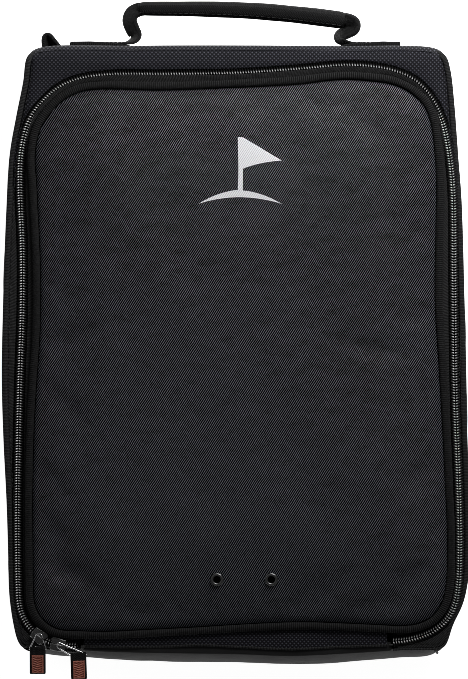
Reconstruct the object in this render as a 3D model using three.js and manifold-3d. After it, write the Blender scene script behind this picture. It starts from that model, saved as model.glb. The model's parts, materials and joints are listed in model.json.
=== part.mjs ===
// A soft golf shoe bag that lies on its back, in millimetres.
// +Z comes out of the front, +Y runs towards the carrying handle and +X to the right.
// The origin is on the outer face of the back panel, which the bag rests on.
import * as THREE from 'three';
import { mergeVertices } from 'three/addons/utils/BufferGeometryUtils.js';
import Module from 'manifold-3d';

const wasm = await Module();
wasm.setup();

// ---- driving dimensions -------------------------------------------------------------------

const GAP = 0.3; // air between two sewn pieces that really touch
const WALL = 2.2; // gusset and back panel, with their backing
const WALL_TOP = 112; // how deep the gussets are
const FACING = [112.3, 113.8]; // lowest and highest level of the folded facings
const BINDING = [112.3, 113.9];
const BINDING_WIDTH = 2.6;
const TAPE = [111.1, 111.9];
const COIL = [112.2, 114.2];
const COIL_NEAR = 1; // from the middle of the zip to a coil's near and far edge
const COIL_FAR = 3.1;
const TAPE_FAR = 6.5;
const BORDER = [112.3, 117.5];
const BORDER_WIDTH = 3.8;
const SHOULDER = { drop: 1.1, width: 0.9 }; // the rolled border is lower along its two sides
const PANEL_EDGE = 116.6; // top of the lid panel at its seam
const PANEL_CROWN = 6.4; // how far the middle of the lid stands above that seam
const PANEL_THICK = 1.2;
const FOAM_THICK = 3;
const LINING_THICK = 0.8;
const FOAM_INSET = 1.2;
const BOARD = { half: 124, bottom: -178, top: 172, thick: 2.5 }; // the stiffener in the back
const SEAM_THICK = 1.2;
const SIDE_SPLIT = 121; // where the side gussets meet the top and bottom gussets
const YOKE_FOOT = 100; // the front yoke lies above this line, the facings below it
const LOWER_EDGE = -150; // below this line the bindings turn round the lower corners
const FAR = 300; // outside everything, for cutting pieces apart
const THROUGH = [90, 140]; // levels that pass through the whole front

const ZIP_LEFT_END = -92.7; // the zip's two ends, with the sewn hinge between them
const ZIP_RIGHT_END = 94.7;
const HINGE_Y = -177.5; // the lid turns about this line
const HINGE_AIR = 0.3;
const HINGE_STRIP = { foot: -183.4, head: -150, inset: 0.4 };
const END_STOP = { width: 2.4, height: 1.6, leftFoot: -182.6, rightFoot: -180.2 };

const CORNER = { x: -100, y: -148 }; // middle of the zip's lower left corner
const CORNER_RADIUS = 30;
const PANEL_CORNER_RADIUS = 21;
const SLIDER_ANGLES = [234, 257.6]; // degrees round that corner
const SLIDER = { length: 9.4, nose: 8.2, tail: 6.6, taper: 2.4, bevel: 1.8 };
const SLIDER_TOP = [114.5, 115.3];
const SLIDER_BOTTOM = [109.6, 110.8];
const DIVIDER = { start: 3.6, end: 0.8, half: 0.45 }; // the wedge between a slider's two plates
const CROWN = { inner: 2.9, outer: 3.7, half: 0.4, bar: [117.7, 118.4] }; // the bridge on top
const LINK = { length: 8.6, wire: 0.8, near: 3.6, neck: 3.8, far: 11.4 };
const LINK_Z = 117.1; // the link's middle, where it passes under the crown's bar
const PULL_DROOP = 6.5; // degrees below level
const PULL_TAPE = { length: 14, width: 9.6, levels: [-0.4, 0.7] };
const PULL_INSERT = { length: 10.6, width: 7, levels: [1, 1.5], margin: 0.6 };
const LINK_HEADINGS = [-97, -19.4]; // degrees from +X, seen from the front
const TAPE_HEADINGS = [-90, -88];

const HANDLE_Z = 64.5; // half way into the bag's depth
const ANCHOR = { bottom: 182, top: 184.4, width: 25, outer: 99.6, inner: 63 };
const HANDLE_PIVOT_Y = 188.5;
const GRIP = { left: [-57.6, 204.8], right: [66, 199.4], outer: 4.6, inner: 3.1, core: 2.7, chamfer: 0.8 };
const RIBBON = { thick: 2.4, width: 8 };
const LOOP_WIDTH = 10;

const EYELETS = [
  { side: 'left', x: -10.9, y: -138.2 },
  { side: 'right', x: 21.7, y: -138.2 },
];
const EYELET = { flange: 4, bore: 2, tube: 2.5, under: 0.5, rim: 1.1, bevel: 0.6, tail: 0.8, washer: 0.6 };
const PRINT = { x: 2, y: 106, thick: 0.5, lift: 0.6 };

// ---- outlines, seen from the front, anticlockwise -------------------------------------------

// The edge of the bag: its bottom sags and its sides swell towards the middle.
const BODY_POINTS = [
  [-121, -184], [-60, -186.6], [20, -188.4], [80, -187], [121, -184.6], [129.5, -181],
  [135.5, -168], [139, -148], [140.2, -114], [139.8, -50], [138.8, 30], [137.4, 95],
  [135, 120], [131.5, 152], [128.4, 174], [124, 179.4], [60, 181], [0, 181.2],
  [-60, 181], [-121, 179.6], [-127.6, 174.5], [-131, 150], [-136, 118], [-138.6, 70],
  [-140, 10], [-139.6, -60], [-138.6, -110], [-138, -148], [-134.6, -170], [-130, -181],
];

// The middle of the zip, closed along the bottom by the hinge line.
const ZIP_POINTS = [
  [-60, -178], [0, -177.2], [60, -176.4], [95, -175.2], [108, -173.4], [122.4, -166.4],
  [130.2, -153], [132.2, -135], [132.8, -110], [132.6, -60], [131.2, 30], [130.4, 95],
  [128, 119], [123.5, 141], [113, 156.5], [98, 165.5], [84, 168.6], [62, 169.4],
  [39, 167.5], [0, 165], [-45, 164.2], [-76, 164], [-96, 161], [-112, 151.5],
  [-123.4, 136], [-128.4, 118], [-128.6, 95], [-127, 60], [-127.4, 19], [-129.2, -20],
  [-130, -70], [-130, -120],
];

// The seam round the lid's face panel.
const PANEL_POINTS = [
  [-60, -169.4], [-9, -166.2], [30, -164.4], [70, -165], [101, -166], [112, -163.6],
  [120, -156], [124.4, -143], [125.4, -125], [124.6, -80], [123, -23], [119.6, 30],
  [120.6, 95], [119.6, 118], [115.5, 139], [106, 152], [93, 158.6], [78, 160.8],
  [52, 160.4], [30, 158.4], [-20, 156.2], [-66, 155.8], [-90, 153], [-106, 144.4],
  [-116.2, 130], [-119.4, 112], [-118.6, 80], [-117.4, 30], [-119.6, -15], [-122, -70],
  [-122.4, -120],
];

const radians = THREE.MathUtils.degToRad;

function onCorner(degrees, radius) {
  const a = radians(degrees);
  return [CORNER.x + radius * Math.cos(a), CORNER.y + radius * Math.sin(a)];
}

function cornerArc(radius) {
  const points = [];
  for (let degrees = 184; degrees <= 272; degrees += 8) points.push(onCorner(degrees, radius));
  return points;
}

// Drops the points of a smooth closed curve where it hardly turns.
function thinned(points, turn, longest = 34) {
  const kept = [points[0]];
  let heading = points[1].clone().sub(points[0]).angle();
  for (let i = 1; i < points.length; i++) {
    const step = points[(i + 1) % points.length].clone().sub(points[i]);
    const turned = Math.abs(Math.atan2(Math.sin(step.angle() - heading), Math.cos(step.angle() - heading)));
    if (turned > radians(turn) || points[i].distanceTo(kept.at(-1)) > longest) {
      kept.push(points[i]);
      heading = step.angle();
    }
  }
  return kept;
}

function closedCurve(pairs, turn) {
  const curve = new THREE.CatmullRomCurve3(
    pairs.map(([x, y]) => new THREE.Vector3(x, y, 0)),
    true,
    'centripetal',
  );
  const even = curve.getSpacedPoints(420).slice(0, -1);
  return thinned(even.map((p) => new THREE.Vector2(p.x, p.y)), turn);
}

// Moves a closed outline outwards by a distance, or inwards by a small negative one.
function offset(points, distance) {
  return points.map((p, i) => {
    const before = points.at(i - 1);
    const after = points[(i + 1) % points.length];
    const a = p.clone().sub(before).normalize();
    const b = after.clone().sub(p).normalize();
    const along = a.clone().add(b).normalize();
    const reach = distance / Math.max(0.5, along.dot(a));
    return new THREE.Vector2(p.x + along.y * reach, p.y - along.x * reach);
  });
}

const body = closedCurve(BODY_POINTS, 8);
const zip = closedCurve([...cornerArc(CORNER_RADIUS), ...ZIP_POINTS], 6);
const panel = closedCurve([...cornerArc(PANEL_CORNER_RADIUS), ...PANEL_POINTS], 8);

// ---- solids ---------------------------------------------------------------------------------

function toSolid(geometry) {
  const bare = geometry.index ? geometry.clone() : geometry;
  bare.deleteAttribute('normal');
  bare.deleteAttribute('uv');
  const merged = mergeVertices(bare, 1e-4);
  return new wasm.Manifold(
    new wasm.Mesh({
      numProp: 3,
      vertProperties: new Float32Array(merged.attributes.position.array),
      triVerts: new Uint32Array(merged.index.array),
    }),
  );
}

function toGeometry(solid) {
  const mesh = solid.getMesh();
  const geometry = new THREE.BufferGeometry();
  geometry.setAttribute('position', new THREE.BufferAttribute(mesh.vertProperties, 3));
  geometry.setIndex(new THREE.BufferAttribute(mesh.triVerts, 1));
  return geometry;
}

function prism(points, [low, high]) {
  const geometry = new THREE.ExtrudeGeometry(new THREE.Shape(points), {
    depth: high - low,
    bevelEnabled: false,
  });
  return toSolid(geometry.translate(0, 0, low));
}

// A box between two corners.
function block([x0, y0, z0], [x1, y1, z1]) {
  const geometry = new THREE.BoxGeometry(x1 - x0, y1 - y0, z1 - z0);
  return toSolid(geometry.translate((x0 + x1) / 2, (y0 + y1) / 2, (z0 + z1) / 2));
}

// All of the bag's depth over a rectangle of its plan, for cutting pieces apart.
function region(x0, x1, y0, y1) {
  return block([x0, y0, -FAR], [x1, y1, FAR]);
}

function ring(outer, inner, levels) {
  const margin = [levels[0] - 1, levels[1] + 1];
  return prism(outer, levels).subtract(prism(inner, margin));
}

function cylinder(x, y, radius, [low, high], sides = 20) {
  const geometry = new THREE.CylinderGeometry(radius, radius, high - low, sides);
  return toSolid(geometry.rotateX(Math.PI / 2).translate(x, y, (low + high) / 2));
}

// How high the lid's face stands over a point: level in the middle, steeper near the seam.
const LID_MIDDLE = new THREE.Vector2(1, -4);
const RING_SHARES = [0.95, 0.8, 0.55];

function crownAt(share) {
  return PANEL_CROWN * (1 - share ** 4);
}

// A crowned sheet inside an outline, from its top level at the seam down by its thickness.
function crowned(outline, top, thick) {
  const shares = [1, ...RING_SHARES];
  const n = outline.length;
  const vertices = [];
  for (const drop of [0, thick]) {
    for (const share of shares) {
      for (const p of outline) {
        const at = LID_MIDDLE.clone().lerp(p, share);
        vertices.push(at.x, at.y, top - drop + crownAt(share));
      }
    }
    vertices.push(LID_MIDDLE.x, LID_MIDDLE.y, top - drop + crownAt(0));
  }
  const sheet = shares.length * n + 1;
  const faces = [];
  for (let i = 0; i < n; i++) {
    const j = (i + 1) % n;
    for (let r = 0; r + 1 < shares.length; r++) {
      const [a, b, c, d] = [r * n + i, r * n + j, (r + 1) * n + i, (r + 1) * n + j];
      faces.push(a, b, d, a, d, c);
      faces.push(sheet + a, sheet + d, sheet + b, sheet + a, sheet + c, sheet + d);
    }
    const last = (shares.length - 1) * n;
    faces.push(last + i, last + j, sheet - 1);
    faces.push(sheet + last + i, 2 * sheet - 1, sheet + last + j);
    faces.push(i, sheet + i, sheet + j, i, sheet + j, j);
  }
  const geometry = new THREE.BufferGeometry();
  geometry.setAttribute('position', new THREE.Float32BufferAttribute(vertices, 3));
  geometry.setIndex(faces);
  return toSolid(geometry);
}

// A strip with a rectangular section that follows a smooth path in the plane of a level.
function strip(path, thick, width) {
  const section = new THREE.Shape();
  section.moveTo(-thick / 2, -width / 2);
  section.lineTo(thick / 2, -width / 2);
  section.lineTo(thick / 2, width / 2);
  section.lineTo(-thick / 2, width / 2);
  const curve = new THREE.CatmullRomCurve3(path.map(([x, y, z]) => new THREE.Vector3(x, y, z)));
  return new THREE.ExtrudeGeometry(section, { steps: 10, extrudePath: curve, bevelEnabled: false });
}

// ---- materials and the scene graph ------------------------------------------------------------

const surface = (color, roughness, metalness = 0) => ({ color, roughness, metalness });
const LOOKS = {
  twill: surface(0x333437, 0.45),
  dobby: surface(0x25262a, 0.8),
  grosgrain: surface(0x1c1c1c, 0.85),
  coated: surface(0x1d1d1d, 0.5),
  lining: surface(0x232325, 0.7),
  foam: surface(0x2b2b2d, 0.95),
  tape: surface(0x141414, 0.85),
  nylon: surface(0x3c3c40, 0.35),
  webbing: surface(0x191a1c, 0.8),
  gunmetal: surface(0x3a3c40, 0.3, 1),
  bright: surface(0xb9bbbd, 0.25, 1),
  rubber: surface(0x8a5548, 0.6),
  print: surface(0xc8cacd, 0.5),
};

const bag = new THREE.Group();
const lid = new THREE.Group();
const handle = new THREE.Group();
bag.add(lid, handle);

function piece(group, name, shape, look) {
  const geometry = shape.isBufferGeometry ? shape : toGeometry(shape);
  const mesh = new THREE.Mesh(geometry, new THREE.MeshStandardMaterial(LOOKS[look]));
  mesh.name = name;
  group.add(mesh);
  return mesh;
}

// ---- the body: back, gussets and the folded edge round the opening --------------------------------

const SIDES = [
  ['left', region(-FAR, -SIDE_SPLIT, -FAR, FAR)],
  ['right', region(SIDE_SPLIT, FAR, -FAR, FAR)],
  ['top', region(GAP - SIDE_SPLIT, SIDE_SPLIT - GAP, 0, FAR)],
  ['bottom', region(GAP - SIDE_SPLIT, SIDE_SPLIT - GAP, -FAR, 0)],
];

function addBody() {
  const wallInside = offset(body, -WALL);
  const between = offset(body, -WALL - GAP);
  piece(bag, 'back_panel', prism(between, [0, WALL]), 'coated');
  const floor = WALL + GAP;
  const { half, bottom, top, thick } = BOARD;
  const board = block([-half, bottom, floor], [half, top, floor + thick]);
  piece(bag, 'back_stiffener', board, 'foam');
  const inner = region(-half - GAP, half + GAP, bottom - GAP, top + GAP);
  const seam = prism(between, [floor, floor + SEAM_THICK]).subtract(inner);
  piece(bag, 'back_seam_binding', seam, 'grosgrain');
  const wall = ring(body, wallInside, [0, WALL_TOP]);
  for (const [side, where] of SIDES) {
    piece(bag, `${side}_gusset`, wall.intersect(where), side === 'top' ? 'dobby' : 'coated');
  }
}

function addFrontEdge() {
  const inside = offset(body, -BINDING_WIDTH - GAP);
  const bound = ring(body, offset(body, -BINDING_WIDTH), BINDING);
  const opening = prism(offset(zip, COIL_FAR + GAP), THROUGH);
  const facing = prism(inside, FACING).subtract(opening);
  const leftCorner = region(-FAR, ZIP_LEFT_END, -FAR, LOWER_EDGE);
  const rightCorner = region(ZIP_RIGHT_END, FAR, -FAR, LOWER_EDGE);
  piece(bag, 'left_edge_binding', bound.intersect(SIDES[0][1].add(leftCorner)), 'grosgrain');
  piece(bag, 'right_edge_binding', bound.intersect(SIDES[1][1].add(rightCorner)), 'grosgrain');
  const leftPart = region(-FAR, ZIP_LEFT_END, -FAR, YOKE_FOOT);
  const rightPart = region(ZIP_RIGHT_END, FAR, -FAR, YOKE_FOOT);
  piece(bag, 'left_facing', facing.intersect(leftPart), 'coated');
  piece(bag, 'right_facing', facing.intersect(rightPart), 'coated');
  const overTop = prism(body, FACING).intersect(SIDES[2][1]).subtract(opening);
  const yoke = facing.add(overTop).intersect(region(-FAR, FAR, YOKE_FOOT + GAP, FAR));
  piece(bag, 'front_yoke', yoke, 'dobby');
}

// ---- the zip ---------------------------------------------------------------------------------

const HINGE_STRETCH = region(ZIP_LEFT_END - GAP, ZIP_RIGHT_END + GAP, -FAR, LOWER_EDGE);

function slidersPark() {
  const wedge = [
    new THREE.Vector2(CORNER.x, CORNER.y),
    new THREE.Vector2(...onCorner(222, 60)),
    new THREE.Vector2(...onCorner(262, 60)),
    new THREE.Vector2(...onCorner(300, 60)),
  ];
  return prism(wedge, THROUGH);
}

function addZip() {
  const within = prism(offset(body, -WALL - GAP), THROUGH);
  const bodyTape = ring(offset(zip, TAPE_FAR), offset(zip, COIL_NEAR), TAPE).intersect(within);
  const bodyCoil = ring(offset(zip, COIL_FAR), offset(zip, COIL_NEAR), COIL);
  piece(bag, 'body_zip_tape', bodyTape.subtract(HINGE_STRETCH), 'tape');
  piece(bag, 'body_zip_coil', bodyCoil.subtract(HINGE_STRETCH), 'nylon');
  const off = HINGE_STRETCH.add(slidersPark());
  const lidTape = ring(offset(zip, -COIL_NEAR), offset(zip, -TAPE_FAR), TAPE);
  const lidCoil = ring(offset(zip, -COIL_NEAR), offset(zip, -COIL_FAR), COIL);
  piece(lid, 'lid_zip_tape', lidTape.subtract(off), 'tape');
  piece(lid, 'lid_zip_coil', lidCoil.subtract(off), 'nylon');
  const { width, height, leftFoot, rightFoot } = END_STOP;
  const ends = [
    ['left', ZIP_LEFT_END, leftFoot],
    ['right', ZIP_RIGHT_END - width, rightFoot],
  ];
  for (const [side, x, foot] of ends) {
    const stop = block([x, foot, COIL[0]], [x + width, HINGE_Y - HINGE_AIR, COIL[0] + height]);
    piece(bag, `zip_end_stop_${side}`, stop, 'nylon');
  }
}

// ---- the fabric hinge, in two halves that meet on the hinge line ----------------------------------

function addHinge() {
  const { foot, head, inset } = HINGE_STRIP;
  const left = ZIP_LEFT_END + END_STOP.width + inset;
  const right = ZIP_RIGHT_END - END_STOP.width - inset;
  const bodyHalf = block([left, foot, FACING[0]], [right, HINGE_Y - HINGE_AIR, FACING[1]]);
  piece(bag, 'hinge_strip_body', bodyHalf, 'dobby');
  const lidHalf = block([left, HINGE_Y + HINGE_AIR, FACING[0]], [right, head, FACING[1]]);
  const beyond = prism(offset(panel, BORDER_WIDTH + GAP), THROUGH);
  piece(lid, 'hinge_strip_lid', lidHalf.subtract(beyond), 'dobby');
}

// ---- the lid ---------------------------------------------------------------------------------

function addLid() {
  const holes = EYELETS.map(({ x, y }) => cylinder(x, y, EYELET.tube + GAP, THROUGH));
  const vented = (solid) => holes.reduce((left, hole) => left.subtract(hole), solid);
  piece(lid, 'lid_panel', vented(crowned(offset(panel, -GAP), PANEL_EDGE, PANEL_THICK)), 'twill');
  const foamTop = PANEL_EDGE - PANEL_THICK - GAP;
  piece(lid, 'lid_foam', vented(crowned(offset(panel, -FOAM_INSET), foamTop, FOAM_THICK)), 'foam');
  const liningTop = foamTop - FOAM_THICK - GAP;
  piece(lid, 'lid_lining', vented(crowned(offset(panel, -GAP), liningTop, LINING_THICK)), 'lining');
  const low = ring(offset(panel, BORDER_WIDTH), panel, [BORDER[0], BORDER[1] - SHOULDER.drop]);
  const high = ring(offset(panel, BORDER_WIDTH - SHOULDER.width), offset(panel, SHOULDER.width), BORDER);
  piece(lid, 'lid_border', low.add(high), 'grosgrain');
}

// A point's share of the way from the lid's middle to its seam.
function shareAt(x, y) {
  const at = new THREE.Vector2(x, y).sub(LID_MIDDLE);
  let share = 0;
  panel.forEach((p, i) => {
    const a = p.clone().sub(LID_MIDDLE);
    const side = panel[(i + 1) % panel.length].clone().sub(LID_MIDDLE).sub(a);
    const t = side.cross(at) / side.cross(a);
    const along = at.clone().divideScalar(t).sub(a).dot(side) / side.lengthSq();
    if (t > 0 && along >= 0 && along < 1) share = t;
  });
  return share;
}

function addEyelets() {
  for (const { side, x, y } of EYELETS) {
    const face = PANEL_EDGE + crownAt(shareAt(x, y));
    const back = face - PANEL_THICK - FOAM_THICK - LINING_THICK - 2 * GAP;
    const tail = back - EYELET.tail;
    const under = face + EYELET.under;
    const rim = face + EYELET.rim;
    const profile = [
      [EYELET.bore, tail], [EYELET.tube, tail], [EYELET.tube, under],
      [EYELET.flange, under], [EYELET.flange - EYELET.bevel, rim], [EYELET.bore, rim],
    ];
    const points = [...profile, profile[0]].map(([r, h]) => new THREE.Vector2(r, h));
    const turned = new THREE.LatheGeometry(points, 20).rotateX(Math.PI / 2).translate(x, y, 0);
    piece(lid, `${side}_eyelet`, toSolid(turned), 'gunmetal');
    const washer = cylinder(x, y, EYELET.flange, [tail - EYELET.washer, tail]);
    const bored = washer.subtract(cylinder(x, y, EYELET.tube + GAP, THROUGH));
    piece(lid, `${side}_eyelet_washer`, bored, 'gunmetal');
  }
}

// A flag on a leaning pole over a low mound, printed on the upper half of the lid.
function addPrint() {
  const shape = new THREE.Shape();
  shape.moveTo(-24, -19);
  shape.quadraticCurveTo(0, -11, 26, -19);
  shape.quadraticCurveTo(14, -12, 2.6, -11);
  shape.lineTo(2.6, 2);
  shape.quadraticCurveTo(12, 6, 26, 7);
  shape.quadraticCurveTo(14, 14, 2.6, 21);
  shape.lineTo(-0.4, 21);
  shape.lineTo(-0.4, -10.6);
  shape.quadraticCurveTo(-13, -12, -24, -19);
  const settings = { depth: PRINT.thick, bevelEnabled: false, curveSegments: 5 };
  const geometry = new THREE.ExtrudeGeometry(shape, settings).translate(PRINT.x, PRINT.y, 0);
  const at = geometry.attributes.position;
  for (let i = 0; i < at.count; i++) {
    const face = PANEL_EDGE + crownAt(shareAt(at.getX(i), at.getY(i)));
    at.setZ(i, at.getZ(i) + face + PRINT.lift);
  }
  piece(lid, 'front_print', toSolid(geometry), 'print');
}

// ---- sliders and pulls ------------------------------------------------------------------------

const flat = (pairs, levels) => prism(pairs.map(([x, y]) => new THREE.Vector2(x, y)), levels);

// Drawn along +X with its nose first, then turned along the zip and moved onto it.
function sliderSolid() {
  const { length, nose, tail, taper, bevel } = SLIDER;
  const half = length / 2;
  const plan = [
    [-half, -tail / 2], [half - taper, -nose / 2], [half, -nose / 2 + bevel],
    [half, nose / 2 - bevel], [half - taper, nose / 2], [-half, tail / 2],
  ];
  const { start, end } = DIVIDER;
  const [low, high] = [SLIDER_BOTTOM[0], SLIDER_TOP[1]];
  const divider = block([half - start, -DIVIDER.half, low], [half - end, DIVIDER.half, high]);
  const bridge = block([-CROWN.outer, -CROWN.half, SLIDER_TOP[0]], [CROWN.outer, CROWN.half, CROWN.bar[1]]);
  const eye = block([-CROWN.inner, -length, high], [CROWN.inner, length, CROWN.bar[0]]);
  const plates = flat(plan, SLIDER_BOTTOM).add(flat(plan, SLIDER_TOP));
  return plates.add(divider).add(bridge.subtract(eye));
}

// A wire frame along +X: a narrow neck that hangs in the crown, and a wide end for the tape.
function linkSolid() {
  const { length, wire, near, neck, far } = LINK;
  const h = wire / 2;
  const outline = (spread, start, end) => [
    [start, -near / 2 + spread], [neck, -near / 2 + spread], [end, -far / 2 + spread],
    [end, far / 2 - spread], [neck, near / 2 - spread], [start, near / 2 - spread],
  ];
  const hole = flat(outline(wire, h, length - h), [-wire, wire]);
  return flat(outline(0, -h, length + h), [-h, h]).subtract(hole);
}

// The first pull lies across its slider and swings about the crown's bar. The second lies along
// its slider, behind it, and swings about the link's own near end.
const PULLS = [
  { across: true, behind: 1.25, tapeStart: 1.5, tapeShift: 0 },
  { across: false, behind: 0, tapeStart: 4.2, tapeShift: 4.2 },
];

function addSlider(number) {
  const angle = SLIDER_ANGLES[number - 1];
  const heading = LINK_HEADINGS[number - 1];
  const { across, behind, tapeStart, tapeShift } = PULLS[number - 1];
  const [x, y] = onCorner(angle, CORNER_RADIUS);
  const noseWay = number === 1 ? angle + 90 : angle - 90; // the two noses face each other
  const slider = piece(bag, `slider_${number}`, sliderSolid(), 'gunmetal');
  slider.position.set(x, y, 0);
  slider.rotation.z = radians(noseWay);

  const hung = new THREE.Group(); // turns down by the droop, about the line the pull swings on
  const pull = new THREE.Group(); // points along the pull's heading
  bag.add(hung);
  hung.add(pull);
  const crownZ = (CROWN.bar[0] + CROWN.bar[1]) / 2;
  hung.position.set(x, y, across ? crownZ : LINK_Z);
  if (across) {
    hung.rotation.set(radians(PULL_DROOP), 0, radians(noseWay), 'ZYX');
    pull.position.z = LINK_Z - crownZ;
    pull.rotation.z = radians(heading - noseWay);
  } else {
    hung.rotation.set(0, radians(PULL_DROOP), radians(heading), 'ZYX');
  }
  piece(pull, `pull_${number}_link`, linkSolid(), 'bright').position.x = -behind;

  const tab = new THREE.Group();
  tab.position.x = LINK.length - behind;
  tab.rotation.z = radians(TAPE_HEADINGS[number - 1] - heading);
  pull.add(tab);
  const end = tapeStart + PULL_TAPE.length;
  const slab = ({ width, levels }, x0, x1) =>
    block([x0, tapeShift - width / 2, levels[0]], [x1, tapeShift + width / 2, levels[1]]);
  piece(tab, `pull_${number}_tape`, slab(PULL_TAPE, tapeStart, end), 'webbing');
  const insertEnd = end - PULL_INSERT.margin;
  const insert = slab(PULL_INSERT, insertEnd - PULL_INSERT.length, insertEnd);
  piece(tab, `pull_${number}_insert`, insert, 'rubber');
}

// ---- the handle and the loop on the top gusset -----------------------------------------------------

function addHandle() {
  const levels = [HANDLE_Z - ANCHOR.width / 2, HANDLE_Z + ANCHOR.width / 2];
  const sewn = [
    ['left', -ANCHOR.outer, -ANCHOR.inner],
    ['right', ANCHOR.inner, ANCHOR.outer],
  ];
  for (const [side, x0, x1] of sewn) {
    const anchor = block([x0, ANCHOR.bottom, levels[0]], [x1, ANCHOR.top, levels[1]]);
    piece(bag, `handle_anchor_${side}`, anchor, 'webbing');
  }
  const [left, right] = [GRIP.left, GRIP.right];
  const length = Math.hypot(right[0] - left[0], right[1] - left[1]);
  const { outer, inner, chamfer } = GRIP;
  const profile = [
    [inner, 0], [outer - chamfer, 0], [outer, chamfer],
    [outer, length - chamfer], [outer - chamfer, length], [inner, length],
  ];
  const closed = [...profile, profile[0]].map(([r, h]) => new THREE.Vector2(r, h));
  const lie = Math.atan2(right[1] - left[1], right[0] - left[0]) - Math.PI / 2;
  const place = (mesh) => {
    mesh.position.set(left[0], left[1], HANDLE_Z);
    mesh.rotation.z = lie;
  };
  place(piece(handle, 'handle_grip', toSolid(new THREE.LatheGeometry(closed, 16)), 'webbing'));
  const core = new THREE.CylinderGeometry(GRIP.core, GRIP.core, length - 2 * GAP, 12);
  place(piece(handle, 'handle_core', toSolid(core.translate(0, length / 2, 0)), 'webbing'));

  const foot = HANDLE_PIVOT_Y + 1.5;
  const leftWay = [[-60, foot], [-64.2, 195], [-64.4, 200], [-60, left[1]]];
  const rightWay = [[66, foot - 0.4], [72, 192.6], [72.4, 196.6], [68.4, right[1]]];
  for (const [side, way] of [['left', leftWay], ['right', rightWay]]) {
    const path = way.map(([x, y]) => [x, y, HANDLE_Z]);
    piece(handle, `handle_strap_${side}`, toSolid(strip(path, RIBBON.width, RIBBON.thick)), 'webbing');
  }
}

function addLoopTab() {
  const outline = [[-107.6, 181.6], [-112.8, 189], [-114.8, 189], [-114.4, 181.6]];
  const levels = [HANDLE_Z - LOOP_WIDTH / 2, HANDLE_Z + LOOP_WIDTH / 2];
  piece(bag, 'loop_tab', flat(outline, levels), 'webbing');
}

addBody();
addFrontEdge();
addZip();
addHinge();
addLid();
addEyelets();
addPrint();
addSlider(1);
addSlider(2);
addHandle();
addLoopTab();

export default bag;
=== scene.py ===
"""The looks of a soft golf shoe bag that lies on its back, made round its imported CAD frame.

Lengths are in millimetres until a mesh is made. The plan is seen from the front of the bag, and
outlines run anticlockwise. A section is a closed line of (outwards, up) points that is carried
along an outline.
"""

import json
from itertools import product
from math import atan2, cos, pi, radians, sin

import bmesh
import bpy
import numpy as np
from mathutils import Matrix, Vector, noise
from mathutils.bvhtree import BVHTree
from mathutils.geometry import delaunay_2d_cdt


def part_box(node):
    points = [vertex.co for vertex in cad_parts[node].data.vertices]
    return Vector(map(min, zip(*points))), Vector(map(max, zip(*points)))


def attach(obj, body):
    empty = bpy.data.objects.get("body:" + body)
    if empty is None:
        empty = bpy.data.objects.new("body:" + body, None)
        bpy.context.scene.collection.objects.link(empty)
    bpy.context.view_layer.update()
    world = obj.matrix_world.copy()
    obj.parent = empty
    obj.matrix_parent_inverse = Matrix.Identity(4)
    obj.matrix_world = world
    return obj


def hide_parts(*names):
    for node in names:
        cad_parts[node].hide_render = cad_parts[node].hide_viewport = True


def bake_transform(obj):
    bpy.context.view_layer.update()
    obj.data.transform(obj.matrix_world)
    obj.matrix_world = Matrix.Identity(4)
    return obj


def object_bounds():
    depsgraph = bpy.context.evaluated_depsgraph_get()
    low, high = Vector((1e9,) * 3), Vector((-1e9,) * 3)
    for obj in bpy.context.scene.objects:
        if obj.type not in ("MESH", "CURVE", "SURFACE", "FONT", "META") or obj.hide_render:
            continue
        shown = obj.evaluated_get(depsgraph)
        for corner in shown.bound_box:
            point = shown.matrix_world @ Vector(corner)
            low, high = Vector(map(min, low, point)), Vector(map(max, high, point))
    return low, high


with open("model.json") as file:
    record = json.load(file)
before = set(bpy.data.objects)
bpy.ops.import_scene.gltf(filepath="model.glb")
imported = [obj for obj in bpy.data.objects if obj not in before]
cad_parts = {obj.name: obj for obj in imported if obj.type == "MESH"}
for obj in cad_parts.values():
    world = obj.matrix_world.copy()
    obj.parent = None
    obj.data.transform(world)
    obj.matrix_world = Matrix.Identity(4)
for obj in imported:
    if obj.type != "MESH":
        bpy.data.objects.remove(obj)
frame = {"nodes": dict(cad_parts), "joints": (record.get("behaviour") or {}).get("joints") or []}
CAD_LOW, CAD_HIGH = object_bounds()
JOINTS = {joint["name"]: joint for joint in frame["joints"]}
MM = 0.001

# ---- driving dimensions ------------------------------------------------------

STEP = 3.0  # spacing of the points along an outline
SMOOTH_BELOW = radians(40)  # edges that turn more than this stay sharp

CORNER = Vector(JOINTS["slider_1_travel"]["pos_m"]) / MM  # middle of the zip's lower left corner
ZIP_RADIUS = 30.0
PANEL_RADIUS = 21.0

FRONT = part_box("left_gusset")[1].z / MM  # how deep the gussets are
WALL = 2.2
COIL_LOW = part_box("body_zip_coil")[0].z / MM
COIL_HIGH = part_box("body_zip_coil")[1].z / MM
COIL_NEAR, COIL_FAR = 0.35, 3.1  # a coil's two edges, from the middle of the zip
COIL_PITCH = 1.6
COIL_WIRE = 0.36
TAPE_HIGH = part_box("body_zip_tape")[1].z / MM
BORDER_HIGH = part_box("lid_border")[1].z / MM
BORDER_WIDTH = 4.4
ZIP_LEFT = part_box("zip_end_stop_left")[0].x / MM
ZIP_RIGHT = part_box("zip_end_stop_right")[1].x / MM
SPLIT_X = -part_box("left_gusset")[1].x / MM  # the side gussets end here, on either side
YOKE_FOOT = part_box("front_yoke")[0].y / MM
YOKE_DROP = 13.0  # how far the yoke runs down over the top edge
TOP_SEAM, FOOT_SEAM = 179.0, -182.0  # where the gussets meet at the corners
FACING_LEVEL = 113.3

BINDING_HALF = 1.7  # half the width of the folded edge binding
BINDING_RISE = 1.5
SAG = 4.4  # how far the bottom gusset rolls out past its front edge

# ---- outlines in the plan ----------------------------------------------------

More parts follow.
